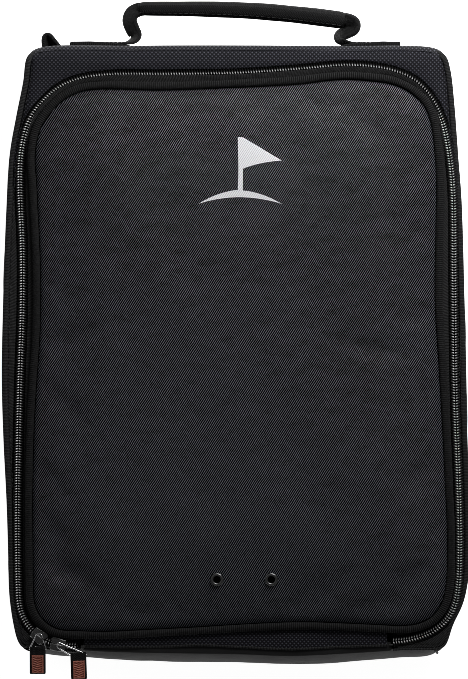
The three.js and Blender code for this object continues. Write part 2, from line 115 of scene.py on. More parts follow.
BODY = [
    (-120, -182.0), (-81, -185.4), (3, -187.2), (33, -188.2), (75, -186.2), (100, -184.6),
    (118, -183.6), (125, -179), (130, -166), (136, -153), (139.4, -137), (140.6, -114),
    (140, -85), (138.8, -54), (138, -10), (137, 30), (135.2, 90), (133.2, 116),
    (131, 146), (128.6, 167), (125.8, 175.6), (120, 179), (60, 180.2), (0, 180.6), (-60, 180.4),
    (-118, 179.2), (-124, 175.6), (-126.6, 160), (-131, 138), (-134.6, 117), (-136.8, 80),
    (-138.8, 20), (-139.4, -18), (-138.4, -54), (-136.6, -90), (-135.6, -120), (-134.8, -148),
    (-132.2, -166), (-129.4, -176), (-126, -180.6),
]
ZIP = [
    (-60, -178), (0, -177.2), (60, -176.4), (93, -175.4), (106, -173.8), (118, -169.4),
    (127, -162), (131.8, -153), (134, -141), (134.8, -122), (134.6, -100), (133.8, -72),
    (132.4, -38), (131.6, 0), (131.3, 40), (130.7, 95), (128.2, 119), (124, 137),
    (116.6, 151.4), (107, 161), (96, 166), (84, 168.6), (66, 169.6), (39, 167.4), (3, 165),
    (-45, 164.2), (-74, 164.1), (-93, 161.6), (-106, 156), (-117, 146), (-124, 135.4),
    (-128.4, 118), (-129.2, 98), (-127.8, 62), (-127.8, 25), (-129, -12), (-130, -50),
    (-130.6, -90), (-130.6, -122),
]
PANEL = [
    (-81, -169.6), (-45, -168), (-9, -166), (15, -164.6), (46, -163.8), (85, -165.4),
    (101, -166), (111, -164.4), (118.8, -160), (124.2, -152), (126.8, -140), (127.4, -124),
    (127.2, -106), (126.2, -84), (124.4, -47), (122.4, -12), (120, 28), (120.4, 70),
    (120.8, 98), (120, 115), (117.4, 136), (113, 146.4), (104.6, 154.2), (94, 159), (80, 161),
    (66.6, 161.8), (52.8, 160.8), (39, 159), (0, 157), (-45, 155.4), (-79, 156), (-91, 154.8),
    (-102, 150), (-110, 142.6), (-117, 132), (-120, 117.6), (-119, 95), (-117, 50),
    (-117.2, 10), (-119, -18), (-120.6, -45), (-121.6, -90), (-121.4, -124),
]


def spline(controls, closed, step):
    """Evenly spaced points on a centripetal Catmull-Rom curve through the controls."""
    c = np.asarray(controls, float)
    if closed:
        c = np.concatenate([c[-1:], c, c[:2]])
    else:
        c = np.concatenate([2 * c[:1] - c[1:2], c, 2 * c[-1:] - c[-2:-1]])
    t = np.linspace(0, 1, 24, endpoint=False)[:, None]
    dense = []
    for a, b, d, e in zip(c, c[1:], c[2:], c[3:]):
        k = np.cumsum([0.0] + [np.linalg.norm(q - p) ** 0.5 for p, q in ((a, b), (b, d), (d, e))])
        x = k[1] + (k[2] - k[1]) * t

        def mix(i, j, p, q):
            return (k[j] - x) / (k[j] - k[i]) * p + (x - k[i]) / (k[j] - k[i]) * q

        ab, bd, de = mix(0, 1, a, b), mix(1, 2, b, d), mix(2, 3, d, e)
        dense.append(mix(1, 2, mix(0, 2, ab, bd), mix(1, 3, bd, de)))
    dense = np.concatenate([*dense, c[-2:-1]])
    return even(dense, step, closed)


def distances(points):
    """How far along a line each of its points is."""
    return np.concatenate([[0], np.cumsum(np.linalg.norm(np.diff(points, axis=0), axis=1))])


def sampled(at, s, values):
    """Rows of values at other distances along a line."""
    return np.stack([np.interp(at, s, column) for column in np.asarray(values).T], 1)


def even(points, step, closed=False):
    """The same line with evenly spaced points."""
    s = distances(points)
    count = max(2, round(s[-1] / step))
    at = np.linspace(0, s[-1], count + 1)
    if closed:
        at = at[:-1]
    return sampled(at, s, points)


UP = np.array((0, 0, 1.0))


def unit(v):
    return v / np.maximum(np.linalg.norm(v, axis=-1, keepdims=True), 1e-12)


class Path:
    """A line in the plan with its outward normals and the distance along it."""

    def __init__(self, points, closed=True):
        self.p = np.asarray(points, float)
        self.closed = closed
        ahead = np.roll(self.p, -1, 0) - self.p
        behind = np.roll(ahead, 1, 0)
        if not closed:
            ahead[-1] = behind[-1]
            behind[0] = ahead[0]
        along = unit(unit(ahead) + unit(behind))
        self.out = np.stack([along[:, 1], -along[:, 0]], 1)
        self.s = distances(self.p)

    def moved(self, distance):
        return Path(self.p + self.out * np.reshape(distance, (-1, 1)), self.closed)

    def nearest(self, place):
        return int(np.argmin(np.linalg.norm(self.p - np.array(place), axis=1)))

    def part(self, start, end, step=STEP):
        """The open stretch, anticlockwise, between the points nearest to two places."""
        first, last = self.nearest(start), self.nearest(end)
        n = len(self.p)
        index = (first + np.arange((last - first) % n + 1)) % n
        return Path(even(self.p[index], step), closed=False)


def arc(radius):
    """The lower left corner of the zip or of the lid, which the sliders follow."""
    angles = np.radians(np.arange(184, 273, 8))
    return [(CORNER.x + radius * cos(a), CORNER.y + radius * sin(a)) for a in angles]


body = Path(spline(BODY, True, 1.0))
zip_line = Path(spline(arc(ZIP_RADIUS) + ZIP, True, 1.0))
panel = Path(spline(arc(PANEL_RADIUS) + PANEL, True, 1.0))

LEFT_END, RIGHT_END = (ZIP_LEFT, -178.0), (ZIP_RIGHT, -175.4)


def facing_down(path):
    """1 where the outline faces the foot of the bag, 0 at its sides and its top."""
    return np.clip(-path.out[:, 1], 0, 1) ** 4


front_edge = body.moved(-SAG * facing_down(body))

# ---- meshes ------------------------------------------------------------------


def oval(across, up, wide, high, sides=16, square=2.6):
    """Closed sections like rounded rectangles. Each argument is a number or one for each station."""
    t = np.linspace(0, 2 * pi, sides, endpoint=False)
    x, y = np.cos(t), np.sin(t)
    x, y = (np.sign(v) * np.abs(v) ** (2 / square) for v in (x, y))
    across, up, wide, high = (np.reshape(v, (-1, 1)) for v in (across, up, wide, high))
    x, y = np.broadcast_arrays(across + wide * x, up + high * y)
    return np.stack([x, y], -1)


def rings(path, sections):
    """A grid of points: sections of (outwards, up) carried along a path in the plan."""
    sections = np.broadcast_to(sections, (len(path.p), *np.shape(sections)[-2:]))
    plan = path.p[:, None] + path.out[:, None] * sections[..., :1]
    return np.concatenate([plan, sections[..., 1:]], -1)


def loft(name, grid, closed=False, along=None):
    """A closed skin over a grid of stations, each one a closed loop, with its cloth laid out in mm."""
    grid = np.asarray(grid, float)
    n, m = grid.shape[:2]
    rows = n if closed else n - 1
    i, j = np.meshgrid(np.arange(rows), np.arange(m), indexing="ij")
    corners = [(i, j), (i + 1, j), (i + 1, j + 1), (i, j + 1)]
    faces = np.stack([(a % n) * m + b % m for a, b in corners], -1).reshape(-1, 4).tolist()
    length = np.linalg.norm(np.diff(np.concatenate([grid, grid[:1]]), axis=0), axis=2).mean(1)
    girth = np.linalg.norm(np.diff(np.concatenate([grid, grid[:, :1]], 1), axis=1), axis=2).mean(0)
    s = np.concatenate([[0], np.cumsum(length)]) if along is None else along
    t = np.concatenate([[0], np.cumsum(girth)])
    cloth = np.stack([np.stack([s[a], t[b]], -1) for a, b in corners], 2).reshape(-1, 2)
    if not closed:
        faces += [list(range(m))[::-1], [(n - 1) * m + k for k in range(m)]]
        ends = [(s[0], t[k]) for k in range(m)][::-1] + [(s[n - 1], t[k]) for k in range(m)]
        cloth = np.concatenate([cloth, ends])
    return build(name, grid.reshape(-1, 3), faces, cloth)


def build(name, points, faces, cloth=None):
    """An object from points in mm, with outward faces and smooth shading."""
    mesh = bpy.data.meshes.new(name)
    mesh.from_pydata((np.asarray(points) * MM).tolist(), [], faces)
    if cloth is not None:
        mesh.uv_layers.new(name="cloth").data.foreach_set("uv", np.asarray(cloth, np.float32).ravel())
    work = bmesh.new()
    work.from_mesh(mesh)
    bmesh.ops.recalc_face_normals(work, faces=work.faces)
    work.to_mesh(mesh)
    work.free()
    mesh.polygons.foreach_set("use_smooth", [True] * len(mesh.polygons))
    mesh.set_sharp_from_angle(angle=SMOOTH_BELOW)
    return added(name, mesh)


def added(name, data):
    """A new object in the scene."""
    obj = bpy.data.objects.new(name, data)
    bpy.context.scene.collection.objects.link(obj)
    return obj


def join(name, objects):
    """One object from several."""
    context = {"active_object": objects[0], "selected_editable_objects": objects}
    with bpy.context.temp_override(**context):
        bpy.ops.object.join()
    objects[0].name = name
    objects[0].data.name = name
    return objects[0]


def apply_modifiers(obj):
    mesh = bpy.data.meshes.new_from_object(obj.evaluated_get(bpy.context.evaluated_depsgraph_get()))
    obj.modifiers.clear()
    obj.data = mesh
    return obj


def refine(obj, levels):
    """Catmull-Clark subdivision, applied."""
    modifier = obj.modifiers.new("Subdivision", "SUBSURF")
    modifier.levels = modifier.render_levels = levels
    return apply_modifiers(obj)


def bevelled(obj, width, segments=3):
    modifier = obj.modifiers.new("Bevel", "BEVEL")
    modifier.width = width * MM
    modifier.segments = segments
    modifier.limit_method = "ANGLE"
    apply_modifiers(obj)
    obj.data.set_sharp_from_angle(angle=SMOOTH_BELOW)
    return obj


def slab(name, outline, low, high, bevel=0.0, segments=3):
    """A flat plate with an outline in the plan."""
    n = len(outline)
    points = [(x, y, low) for x, y in outline] + [(x, y, high) for x, y in outline]
    sides = [[i, (i + 1) % n, n + (i + 1) % n, n + i] for i in range(n)]
    obj = build(name, points, [list(range(n))[::-1], [n + i for i in range(n)], *sides])
    return bevelled(obj, bevel, segments) if bevel else obj


def tube(name, points, radius, sides=8, closed=False, flat=1.0, up=(0, 0, 1), measure=None):
    """A round or flattened wire along a line in space; radius is a number or one for each point."""
    p = np.asarray(points, float)
    ahead = np.roll(p, -1, 0) - np.roll(p, 1, 0)
    if not closed:
        ahead[0], ahead[-1] = p[1] - p[0], p[-1] - p[-2]
    along = unit(ahead)
    side = unit(np.cross(along, np.broadcast_to(up, along.shape)))
    over = np.cross(side, along)
    t = np.linspace(0, 2 * pi, sides, endpoint=False)
    r = np.reshape(radius, (-1, 1, 1))
    circle = side[:, None] * np.cos(t)[:, None] + over[:, None] * (flat * np.sin(t))[:, None]
    return loft(name, p[:, None] + r * circle, closed, measure)


def box(node):
    """The low and high corners of a CAD node's box, in mm."""
    return [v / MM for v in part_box(node)]


def place(obj, look, body_name, slot, *nodes):
    """Gives a piece its look and its body, and hides the CAD nodes that it stands for. The slot is not used.
    """
    obj.data.materials.clear()
    obj.data.materials.append(look)
    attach(obj, body_name)
    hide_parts(*nodes)
    return obj


def wavy(point, scale, seed=0.0):
    """Smooth noise from -1 to 1 at a place, over a distance of about scale mm."""
    return noise.noise(Vector(point) / scale + Vector((seed, seed * 2.3, seed * 0.7)))


def crumple(grid, scale, depth, seed, along=(1, 1, 1)):
    """Moves a grid's points a little in and out, as cloth lies."""
    flat = grid.reshape(-1, 3)
    waves = np.array([wavy(p, scale, seed) for p in flat * np.array(along)])
    return waves.reshape(grid.shape[:-1]) * depth


# ---- materials ---------------------------------------------------------------


class Look:
    """Builds one material. Sockets and plain numbers can be mixed in its calls."""

    def __init__(self, name, roughness, **surface):
        self.material = bpy.data.materials.new(name)
        self.material.use_nodes = True
        self.tree = self.material.node_tree
        self.shader = self.tree.nodes["Principled BSDF"]
        self.shader.inputs["Roughness"].default_value = roughness
        for key, value in surface.items():
            self.shader.inputs[key.replace("_", " ")].default_value = value

    def node(self, kind, inputs=(), output=0, **settings):
        made = self.tree.nodes.new("ShaderNode" + kind)
        for key, value in settings.items():
            setattr(made, key, value)
        for key, value in dict(inputs).items():
            if isinstance(value, bpy.types.NodeSocket):
                self.tree.links.new(value, made.inputs[key])
            else:
                made.inputs[key].default_value = value
        return made.outputs[output]

    def math(self, operation, *values):
        return self.node("Math", dict(enumerate(values)), operation=operation)

    def cloth(self):
        """Distance along a piece and round it, in mm."""
        at = self.node("UVMap", uv_map="cloth")
        split = self.node("SeparateXYZ", {0: at}).node
        return split.outputs[0], split.outputs[1]

    def place(self):
        """The place on the bag, in mm."""
        at = self.node("TexCoord", output="Object")
        return self.node("VectorMath", {0: at, 1: (1 / MM,) * 3}, operation="MULTIPLY")

    def plan(self):
        """How far right and how far up the bag, in mm."""
        split = self.node("SeparateXYZ", {0: self.place()}).node
        return split.outputs[0], split.outputs[1]

    def noise(self, scale, detail=2.0, stretch=(1, 1, 1)):
        """Noise from 0 to 1 with features of about scale mm."""
        at = self.node("VectorMath", {0: self.place(), 1: stretch}, operation="MULTIPLY")
        return self.node("TexNoise", {"Vector": at, "Scale": 1 / scale, "Detail": detail})

    def wave(self, distance, pitch, phase=0.0):
        """From 0 to 1 and back once in each pitch."""
        turns = self.math("MULTIPLY_ADD", distance, 2 * pi / pitch, phase)
        return self.math("MULTIPLY_ADD", self.math("SINE", turns), 0.5, 0.5)

    def ramp(self, value, low, high, to_low=0.0, to_high=1.0):
        inputs = {"Value": value, "From Min": low, "From Max": high, "To Min": to_low, "To Max": to_high}
        return self.node("MapRange", inputs)

    def colour(self, value, dark, light):
        mix = self.node("Mix", {0: value}, output=2, data_type="RGBA").node
        for socket, tone in ((mix.inputs[6], dark), (mix.inputs[7], light)):
            socket.default_value = (*tone, 1)
        self.tree.links.new(mix.outputs[2], self.shader.inputs["Base Color"])

    def rough(self, value, low, high):
        self.tree.links.new(self.ramp(value, 0, 1, low, high), self.shader.inputs["Roughness"])

    def gloss(self, value, low, high):
        self.tree.links.new(self.ramp(value, 0, 1, low, high), self.shader.inputs["Specular IOR Level"])

    def bump(self, height, depth):
        """Height from 0 to 1 over a depth in mm."""
        out = self.node("Bump", {"Height": height, "Distance": depth * MM, "Strength": 1.0})
        self.tree.links.new(out, self.shader.inputs["Normal"])


def grey(value, blue=1.0):
    return (value, value, value * blue)


TWILL_RISE = radians(57)
TWILL_PITCH = 1.12


def twill():
    """Shiny diagonal twill: raised yarns that climb to the right, each one twisted from threads, with a
    painted highlight on each yarn's crest and painted shade between the yarns.
    """
    look = Look("twill", 0.42, Specular_IOR_Level=0.55)
    x, y = look.plan()
    drift = look.math("MULTIPLY", look.noise(9, 2), 0.8)
    up = look.math("MULTIPLY_ADD", y, -cos(TWILL_RISE), drift)
    across = look.math("MULTIPLY_ADD", x, sin(TWILL_RISE), up)
    along = look.math("MULTIPLY_ADD", x, cos(TWILL_RISE), look.math("MULTIPLY", y, sin(TWILL_RISE)))
    yarn = look.wave(across, TWILL_PITCH)
    thread = look.wave(look.math("MULTIPLY_ADD", across, 0.6, along), 0.62)
    uneven = look.noise(0.8, 2)
    height = look.math("MULTIPLY", yarn, look.math("MULTIPLY_ADD", thread, 0.35, 0.65))
    # The colour paints light: a painted highlight on each yarn's crest and painted shade in the gaps between
    # the yarns.
    highlight_crest = look.math("POWER", yarn, 4)
    shade = look.math("MULTIPLY", highlight_crest, look.ramp(uneven, 0.3, 0.7, 0.6, 1.0))
    look.colour(shade, grey(0.0008), (0.2, 0.215, 0.25))
    look.rough(highlight_crest, 0.6, 0.36)
    look.gloss(shade, 0.0, 1.0)
    look.bump(height, 0.12)
    return look.material


def dobby():
    """Matt cloth with a raised dot in each small diamond."""
    look = Look("dobby", 0.7, IOR=1.3, Specular_IOR_Level=0.25, Sheen_Weight=0.03, Sheen_Roughness=0.4)
    s, t = look.cloth()
    pitch = 3.4 / 1.414
    dots = look.math("MULTIPLY", *(look.wave(look.math(way, s, t), pitch) for way in ("ADD", "SUBTRACT")))
    fine = look.math("MULTIPLY", look.wave(s, 0.45), look.wave(t, 0.45))
    height = look.math("MULTIPLY_ADD", fine, 0.25, dots)
    shade = look.math("MULTIPLY", look.math("POWER", dots, 1.4), look.ramp(look.noise(1.3), 0.3, 0.7, 0.6, 1))
    look.colour(shade, grey(0.010, 1.2), grey(0.085, 1.25))
    look.gloss(shade, 0.08, 0.6)
    look.bump(height, 0.2)
    return look.material


def grosgrain(name="grosgrain", pitch=1.2, depth=0.2, dark=0.005, light=0.034):
    """Ribbed tape: ribs across it, each one a row of fine threads."""
    look = Look(name, 0.75, IOR=1.3, Specular_IOR_Level=0.2, Sheen_Weight=0.02, Sheen_Roughness=0.4)
    s, t = look.cloth()
    rib = look.wave(s, pitch)
    thread = look.wave(t, 0.5)
    height = look.math("MULTIPLY_ADD", thread, 0.3, rib)
    shade = look.math("MULTIPLY", look.math("MULTIPLY_ADD", thread, 0.4, 0.6), rib)
    shade = look.math("MULTIPLY", shade, look.ramp(look.noise(1.6), 0.3, 0.7, 0.5, 1))
    look.colour(shade, grey(dark), grey(light, 1.03))
    look.gloss(shade, 0.08, 0.4)
    look.bump(height, depth)
    return look.material


def coated():
    """Closely woven cloth with a smooth coat, a little pebbled and creased."""
    look = Look("coated", 0.7, Specular_IOR_Level=0.08)
    s, t = look.cloth()
    weave = look.math("MULTIPLY", look.wave(s, 0.55), look.wave(t, 0.55))
    pebble = look.noise(1.5, 3)
    height = look.math("MULTIPLY_ADD", weave, 0.35, pebble)
    look.colour(look.noise(22, 3), grey(0.016), grey(0.026, 1.03))
    look.rough(look.noise(14, 3), 0.6, 0.8)
    look.bump(height, 0.07)
    return look.material


def lining():
    look = Look("lining", 0.6, Specular_IOR_Level=0.3, Sheen_Weight=0.1)
    x, y = look.plan()
    weave = look.math("MULTIPLY", look.wave(x, 0.7), look.wave(y, 0.7))
    look.colour(look.math("MULTIPLY", weave, look.noise(3, 3)), grey(0.014, 1.05), grey(0.045, 1.08))
    look.bump(weave, 0.08)
    return look.material


def foam():
    look = Look("foam", 0.95, Specular_IOR_Level=0.2)
    cells = look.node("TexVoronoi", {"Vector": look.place(), "Scale": 1.4})
    look.colour(cells, grey(0.01), grey(0.05))
    look.bump(cells, 0.15)
    return look.material


def tape():
    """Woven herringbone zip tape."""
    look = Look("zip_tape", 0.8, Specular_IOR_Level=0.15)
    s, t = look.cloth()
    zigzag = look.math("PINGPONG", t, 0.9)
    weave = look.wave(look.math("ADD", s, zigzag), 0.6)
    look.colour(look.math("MULTIPLY", weave, look.noise(1.2)), grey(0.002), grey(0.014))
    look.bump(weave, 0.12)
    return look.material


def nylon():
    """Black coil with a painted highlight on the crest of each turn, close to the middle of the zip."""
    look = Look("zip_coil", 0.3, Specular_IOR_Level=0.4)
    turn, _ = look.cloth()
    # Painted highlight: the crest of each turn is coloured near white, where light would glint on the glossy
    # coil.
    highlight_crest = look.math("POWER", look.wave(turn, 1.0, pi / 4), 20)
    shade = look.math("MULTIPLY", highlight_crest, look.ramp(look.noise(2.2), 0.3, 0.6, 0.55, 1))
    look.colour(shade, grey(0.006), grey(0.95))
    look.gloss(highlight_crest, 0.05, 1.0)
    look.bump(look.noise(0.3, 2), 0.02)
    return look.material


def webbing():
    """Strap webbing: chevrons of thick yarn."""
    look = Look("webbing", 0.7, IOR=1.3, Specular_IOR_Level=0.4, Sheen_Weight=0.02, Sheen_Roughness=0.4)
    s, t = look.cloth()
    zigzag = look.math("PINGPONG", t, 1.6)
    weave = look.wave(look.math("MULTIPLY_ADD", zigzag, 1.3, s), 1.15)
    fine = look.wave(t, 0.4)
    height = look.math("MULTIPLY_ADD", fine, 0.2, weave)
    look.colour(look.math("MULTIPLY", weave, look.noise(1.1)), grey(0.002), grey(0.014, 1.05))
    look.bump(height, 0.16)
    return look.material


def metal(name, tone, roughness, wear):
    look = Look(name, roughness, Metallic=1.0)
    scratches = look.noise(0.5, 4, (1, 6, 1))
    look.colour(look.noise(1.5, 3), grey(tone * 0.75), grey(tone, 1.02))
    look.rough(scratches, roughness * 0.7, roughness + wear)
    look.bump(scratches, 0.01)
    return look.material


def rubber():
    """Moulded red-brown rubber, paler where it is rubbed."""
    look = Look("red_rubber", 0.5, Specular_IOR_Level=0.4)
    look.colour(look.noise(1.4, 3), (0.20, 0.05, 0.03), (0.46, 0.16, 0.11))
    look.rough(look.noise(0.8, 2), 0.4, 0.65)
    look.bump(look.noise(0.25, 2), 0.03)
    return look.material


def print_ink():
    """Pale ink that lies on the twill's yarns and misses some of the gaps."""
    look = Look("print", 0.5, Specular_IOR_Level=0.4)
    x, y = look.plan()
    across = look.math("MULTIPLY_ADD", x, sin(TWILL_RISE), look.math("MULTIPLY", y, -cos(TWILL_RISE)))
    yarn = look.wave(across, TWILL_PITCH)
    cover = look.math("MULTIPLY_ADD", look.noise(0.6, 2), 0.3, look.math("MULTIPLY", yarn, 0.7))
    look.colour(look.ramp(cover, 0.1, 0.6), grey(0.5, 1.03), grey(0.85, 1.03))
    look.bump(yarn, 0.08)
    return look.material


def thread():
    look = Look("thread", 0.6, Specular_IOR_Level=0.3)
    look.colour(look.noise(0.4, 2), grey(0.006), grey(0.02))
    look.bump(look.noise(0.2, 2), 0.03)
    return look.material


TWILL, DOBBY, COATED, LINING = twill(), dobby(), coated(), lining()
FOAM, TAPE, NYLON = foam(), tape(), nylon()
GROSGRAIN = grosgrain()
BINDING = grosgrain("edge_binding", 0.9, 0.12, 0.012, 0.04)
WEBBING, RUBBER, INK, THREAD = webbing(), rubber(), print_ink(), thread()
GUNMETAL = metal("gunmetal", 0.16, 0.22, 0.2)
BRIGHT = metal("bright_wire", 0.75, 0.16, 0.15)

# ---- the body: gussets, back and front edge ----------------------------------


def wall_sections(path, rise, lean):
    """Sections of a gusset: up its outside, over its front edge and down its inside."""
    levels = np.linspace(0, 1, 19)
    high = np.repeat(levels[None], len(path.p), 0)
    ends = np.minimum(1, np.minimum(path.s, path.s[-1] - path.s) / 60)
    swell = rise * np.sin(pi * high) ** 0.7 * (0.25 + 0.75 * ends[:, None])
    swell -= lean * high**6
    swell -= 2.4 * (1 - high) ** 14
    z = 0.5 + (FRONT - 0.4) * high
    outer = np.stack([swell, z], -1)
    inner = np.stack([swell - WALL * 0.8 + 0.9 * high**8, z], -1)[:, ::-1]
    inner[:, 0, 1] -= 0.6
    return np.concatenate([outer, inner], 1)


def crumpled_wall(path, sections, depth, seed):
    grid = rings(path, sections)
    half = grid.shape[1] // 2
    share = np.sin(pi * np.linspace(0, 1, half)) ** 0.6
    outside = grid[:, :half]
    waves = crumple(outside, 34, depth, seed, (1, 1, 0.55))
    waves += crumple(outside, 13, depth * 0.35, seed + 5, (1, 1, 0.8))
    push = (waves * share)[..., None] * np.concatenate([path.out, np.zeros((len(path.p), 1))], 1)[:, None]
    grid[:, :half] += push
    grid[:, half:] += push[:, ::-1]
    return grid


def make_gussets():
    top_left, top_right = (-SPLIT_X, TOP_SEAM), (SPLIT_X, TOP_SEAM)
    low_left, low_right = (-SPLIT_X, FOOT_SEAM), (SPLIT_X, FOOT_SEAM)
    spans = {  # from, to, swell and lean
        "left": (top_left, low_left, 1.0, 0.0),
        "right": (low_right, top_right, 1.0, 0.0),
        "top": (top_right, top_left, 0.6, 1.0),
        "bottom": (low_left, low_right, 2.0, SAG + 0.6),
    }
    for seed, (side, (start, end, rise, lean)) in enumerate(spans.items()):
        stretch = body.part(start, end)
        leaning = lean * (facing_down(stretch)[:, None] if side == "bottom" else 1)
        grid = crumpled_wall(stretch, wall_sections(stretch, rise, leaning), 1.1, seed * 7.1 + 1)
        cloth, slot = (DOBBY, "dobby_fabric") if side == "top" else (COATED, "coated_fabric")
        place(refine(loft(f"{side}_gusset_cloth", grid), 1), cloth, "bag", slot, f"{side}_gusset")


def radius_at(path, centre, angles):
    """How far an outline is from a centre, in each direction in degrees."""
    d = path.p - np.array(centre)
    at = np.degrees(np.arctan2(d[:, 1], d[:, 0])) % 360
    order = np.argsort(at)
    at, r = at[order], np.linalg.norm(d, axis=1)[order]
    return np.interp(np.asarray(angles) % 360, at, r, period=360)


def between(inner, outer, centre, angles, shares):
    """A grid of plan points from one outline to another, along rays from a centre."""
    a = np.radians(angles)
    ray = np.stack([np.cos(a), np.sin(a)], 1)
    near, far = radius_at(inner, centre, angles), radius_at(outer, centre, angles)
    r = near[:, None] + np.maximum(far - near, 0.4)[:, None] * np.asarray(shares)
    return np.array(centre) + ray[:, None] * r[..., None]


def grid_faces(n, m):
    """The faces of a grid of n by m points."""
    i, j = np.meshgrid(np.arange(n - 1), np.arange(m - 1), indexing="ij")
    return np.stack([i * m + j, (i + 1) * m + j, (i + 1) * m + j + 1, i * m + j + 1], -1).reshape(-1, 4)


def crossed(xs, ys):
    """A grid of plan points from the places along its two sides."""
    return np.stack(np.meshgrid(xs, ys, indexing="ij"), -1)


def skin(name, top, thick, ribbon=False):
    """A closed sheet: a grid of top points, the same a thickness lower, and its rim.

    The cloth lies square to the plan, or runs along the grid as a ribbon does.
    """
    n, m = top.shape[:2]
    under = top - np.array((0, 0, thick))
    quads = grid_faces(n, m)
    edge = [*range(m - 1), *(k * m + m - 1 for k in range(n - 1))]
    edge += [*range(n * m - 1, (n - 1) * m, -1), *(k * m for k in range(n - 1, 0, -1))]
    rim = [[a, b, b + n * m, a + n * m] for a, b in zip(edge, edge[1:] + edge[:1])]
    faces = quads.tolist() + (quads[:, ::-1] + n * m).tolist() + rim
    flat = top[..., :2].reshape(-1, 2)
    if ribbon:
        s = np.concatenate([[0], np.cumsum(np.linalg.norm(np.diff(top, axis=0), axis=2).mean(1))])
        t = np.concatenate([[0], np.cumsum(np.linalg.norm(np.diff(top, axis=1), axis=2).mean(0))])
        flat = crossed(s, t).reshape(-1, 2)
    cloth = [flat[v % (n * m)] for face in faces for v in face]
    return build(name, np.concatenate([top.reshape(-1, 3), under.reshape(-1, 3)]), faces, cloth)


def raised(plan, z):
    """Plan points with their levels."""
    return np.concatenate([plan, np.broadcast_to(z, plan.shape[:2])[..., None].astype(float)], -1)


def make_front():
    """The yoke rolls over the top; the facings fill the front between the zip and the bindings."""
    beside_zip = zip_line.moved(COIL_FAR + 0.2)
    edge = front_edge.moved(-0.8)
    centre = (0, YOKE_FOOT)
    angles = np.arange(181, -1.5, -0.6)
    shares = np.linspace(0, 1, 9)
    plan = between(beside_zip, front_edge.moved(-5.5), centre, angles, shares)
    z = FACING_LEVEL + 0.7 * np.sin(pi * shares) + 0.2
    turn = np.linspace(0.12, 1, 8)
    roll = front_edge.moved(0.2 + 1.6 * np.clip(front_edge.out[:, 1], 0, 1) ** 4)
    far = between(front_edge.moved(-5.5), roll, centre, angles, np.sin(turn * pi / 2))
    fall = FACING_LEVEL + 0.2 - YOKE_DROP * (1 - np.cos(turn * pi / 2))
    top = raised(np.concatenate([plan, far], 1), np.concatenate([z, fall]))
    top[..., 2] += crumple(top, 26, 0.5, 3)
    yoke = skin("front_yoke_cloth", top, 1.1)
    place(refine(yoke, 1), DOBBY, "bag", "dobby_fabric", "front_yoke")
    spans = {"left": np.arange(142, 243, 0.8), "right": np.arange(-61.5, 38, 0.8)}
    for seed, (side, around) in enumerate(spans.items()):
        plan = between(beside_zip, edge, (0, 0), around, np.linspace(0, 1, 7))
        top = raised(plan, FACING_LEVEL)
        top[..., 2] += crumple(top, 12, 0.35, seed + 8)
        facing = skin(f"{side}_facing_cloth", top, 0.9, ribbon=True)
        place(refine(facing, 1), BINDING, "bag", "coated_fabric", f"{side}_facing")
    line = front_edge.part((ZIP_LEFT + 0.6, FOOT_SEAM), (ZIP_RIGHT - 0.6, FOOT_SEAM))
    across = np.array([
        (-5.4, 112.2), (-5.2, 112.9), (-2.6, 113.1), (0, 112.8), (0.6, 112), (0.4, 111.2), (-2.6, 111.8),
    ])
    foot = refine(loft("foot_facing_cloth", rings(line, across)), 1)
    place(foot, COATED, "bag", "coated_fabric", "hinge_strip_body")


def make_bindings():
    spans = {
        "left": ((-SPLIT_X + 2, TOP_SEAM), (ZIP_LEFT, FOOT_SEAM)),
        "right": ((ZIP_RIGHT, FOOT_SEAM), (SPLIT_X - 2, TOP_SEAM)),
    }
    for side, (start, end) in spans.items():
        line = front_edge.part(start, end, 2.0)
        to_top = line.s if side == "left" else line.s[-1] - line.s
        fall = 9 * np.clip(1 - to_top / 9, 0, 1) ** 1.6
        round_corner = np.clip((line.p[:, 1] + 176) / 14, 0, 1)
        half = 0.75 + (BINDING_HALF - 0.75) * round_corner
        sections = oval(-half + 0.7, 112.3 - fall, half, BINDING_RISE, 14)
        sections[..., 1] += crumple(rings(line, sections), 7, 0.25, 4)
        bead = refine(loft(f"{side}_edge_binding_tape", rings(line, sections)), 1)
        place(bead, BINDING, "bag", "grosgrain", f"{side}_edge_binding")
    seams = []
    for y, x in product((TOP_SEAM, FOOT_SEAM), (-SPLIT_X, SPLIT_X)):
        i = body.nearest((x, y))
        point, out = body.p[i], body.out[i]
        z = np.linspace(2.5, 98, 40)
        lean = (SAG + 0.6) * (z / FRONT) ** 6 * (y < 0)
        reach = 0.1 + 1.2 * np.sin(pi * z / FRONT) - lean
        way = np.concatenate([point + out * reach[:, None], z[:, None]], 1)
        seams.append(tube("corner_seam", way, 0.15 + 0.65 * (1 - (z / z[-1]) ** 8), 8))
    place(join("corner_seams", seams), BINDING, "bag", "grosgrain")


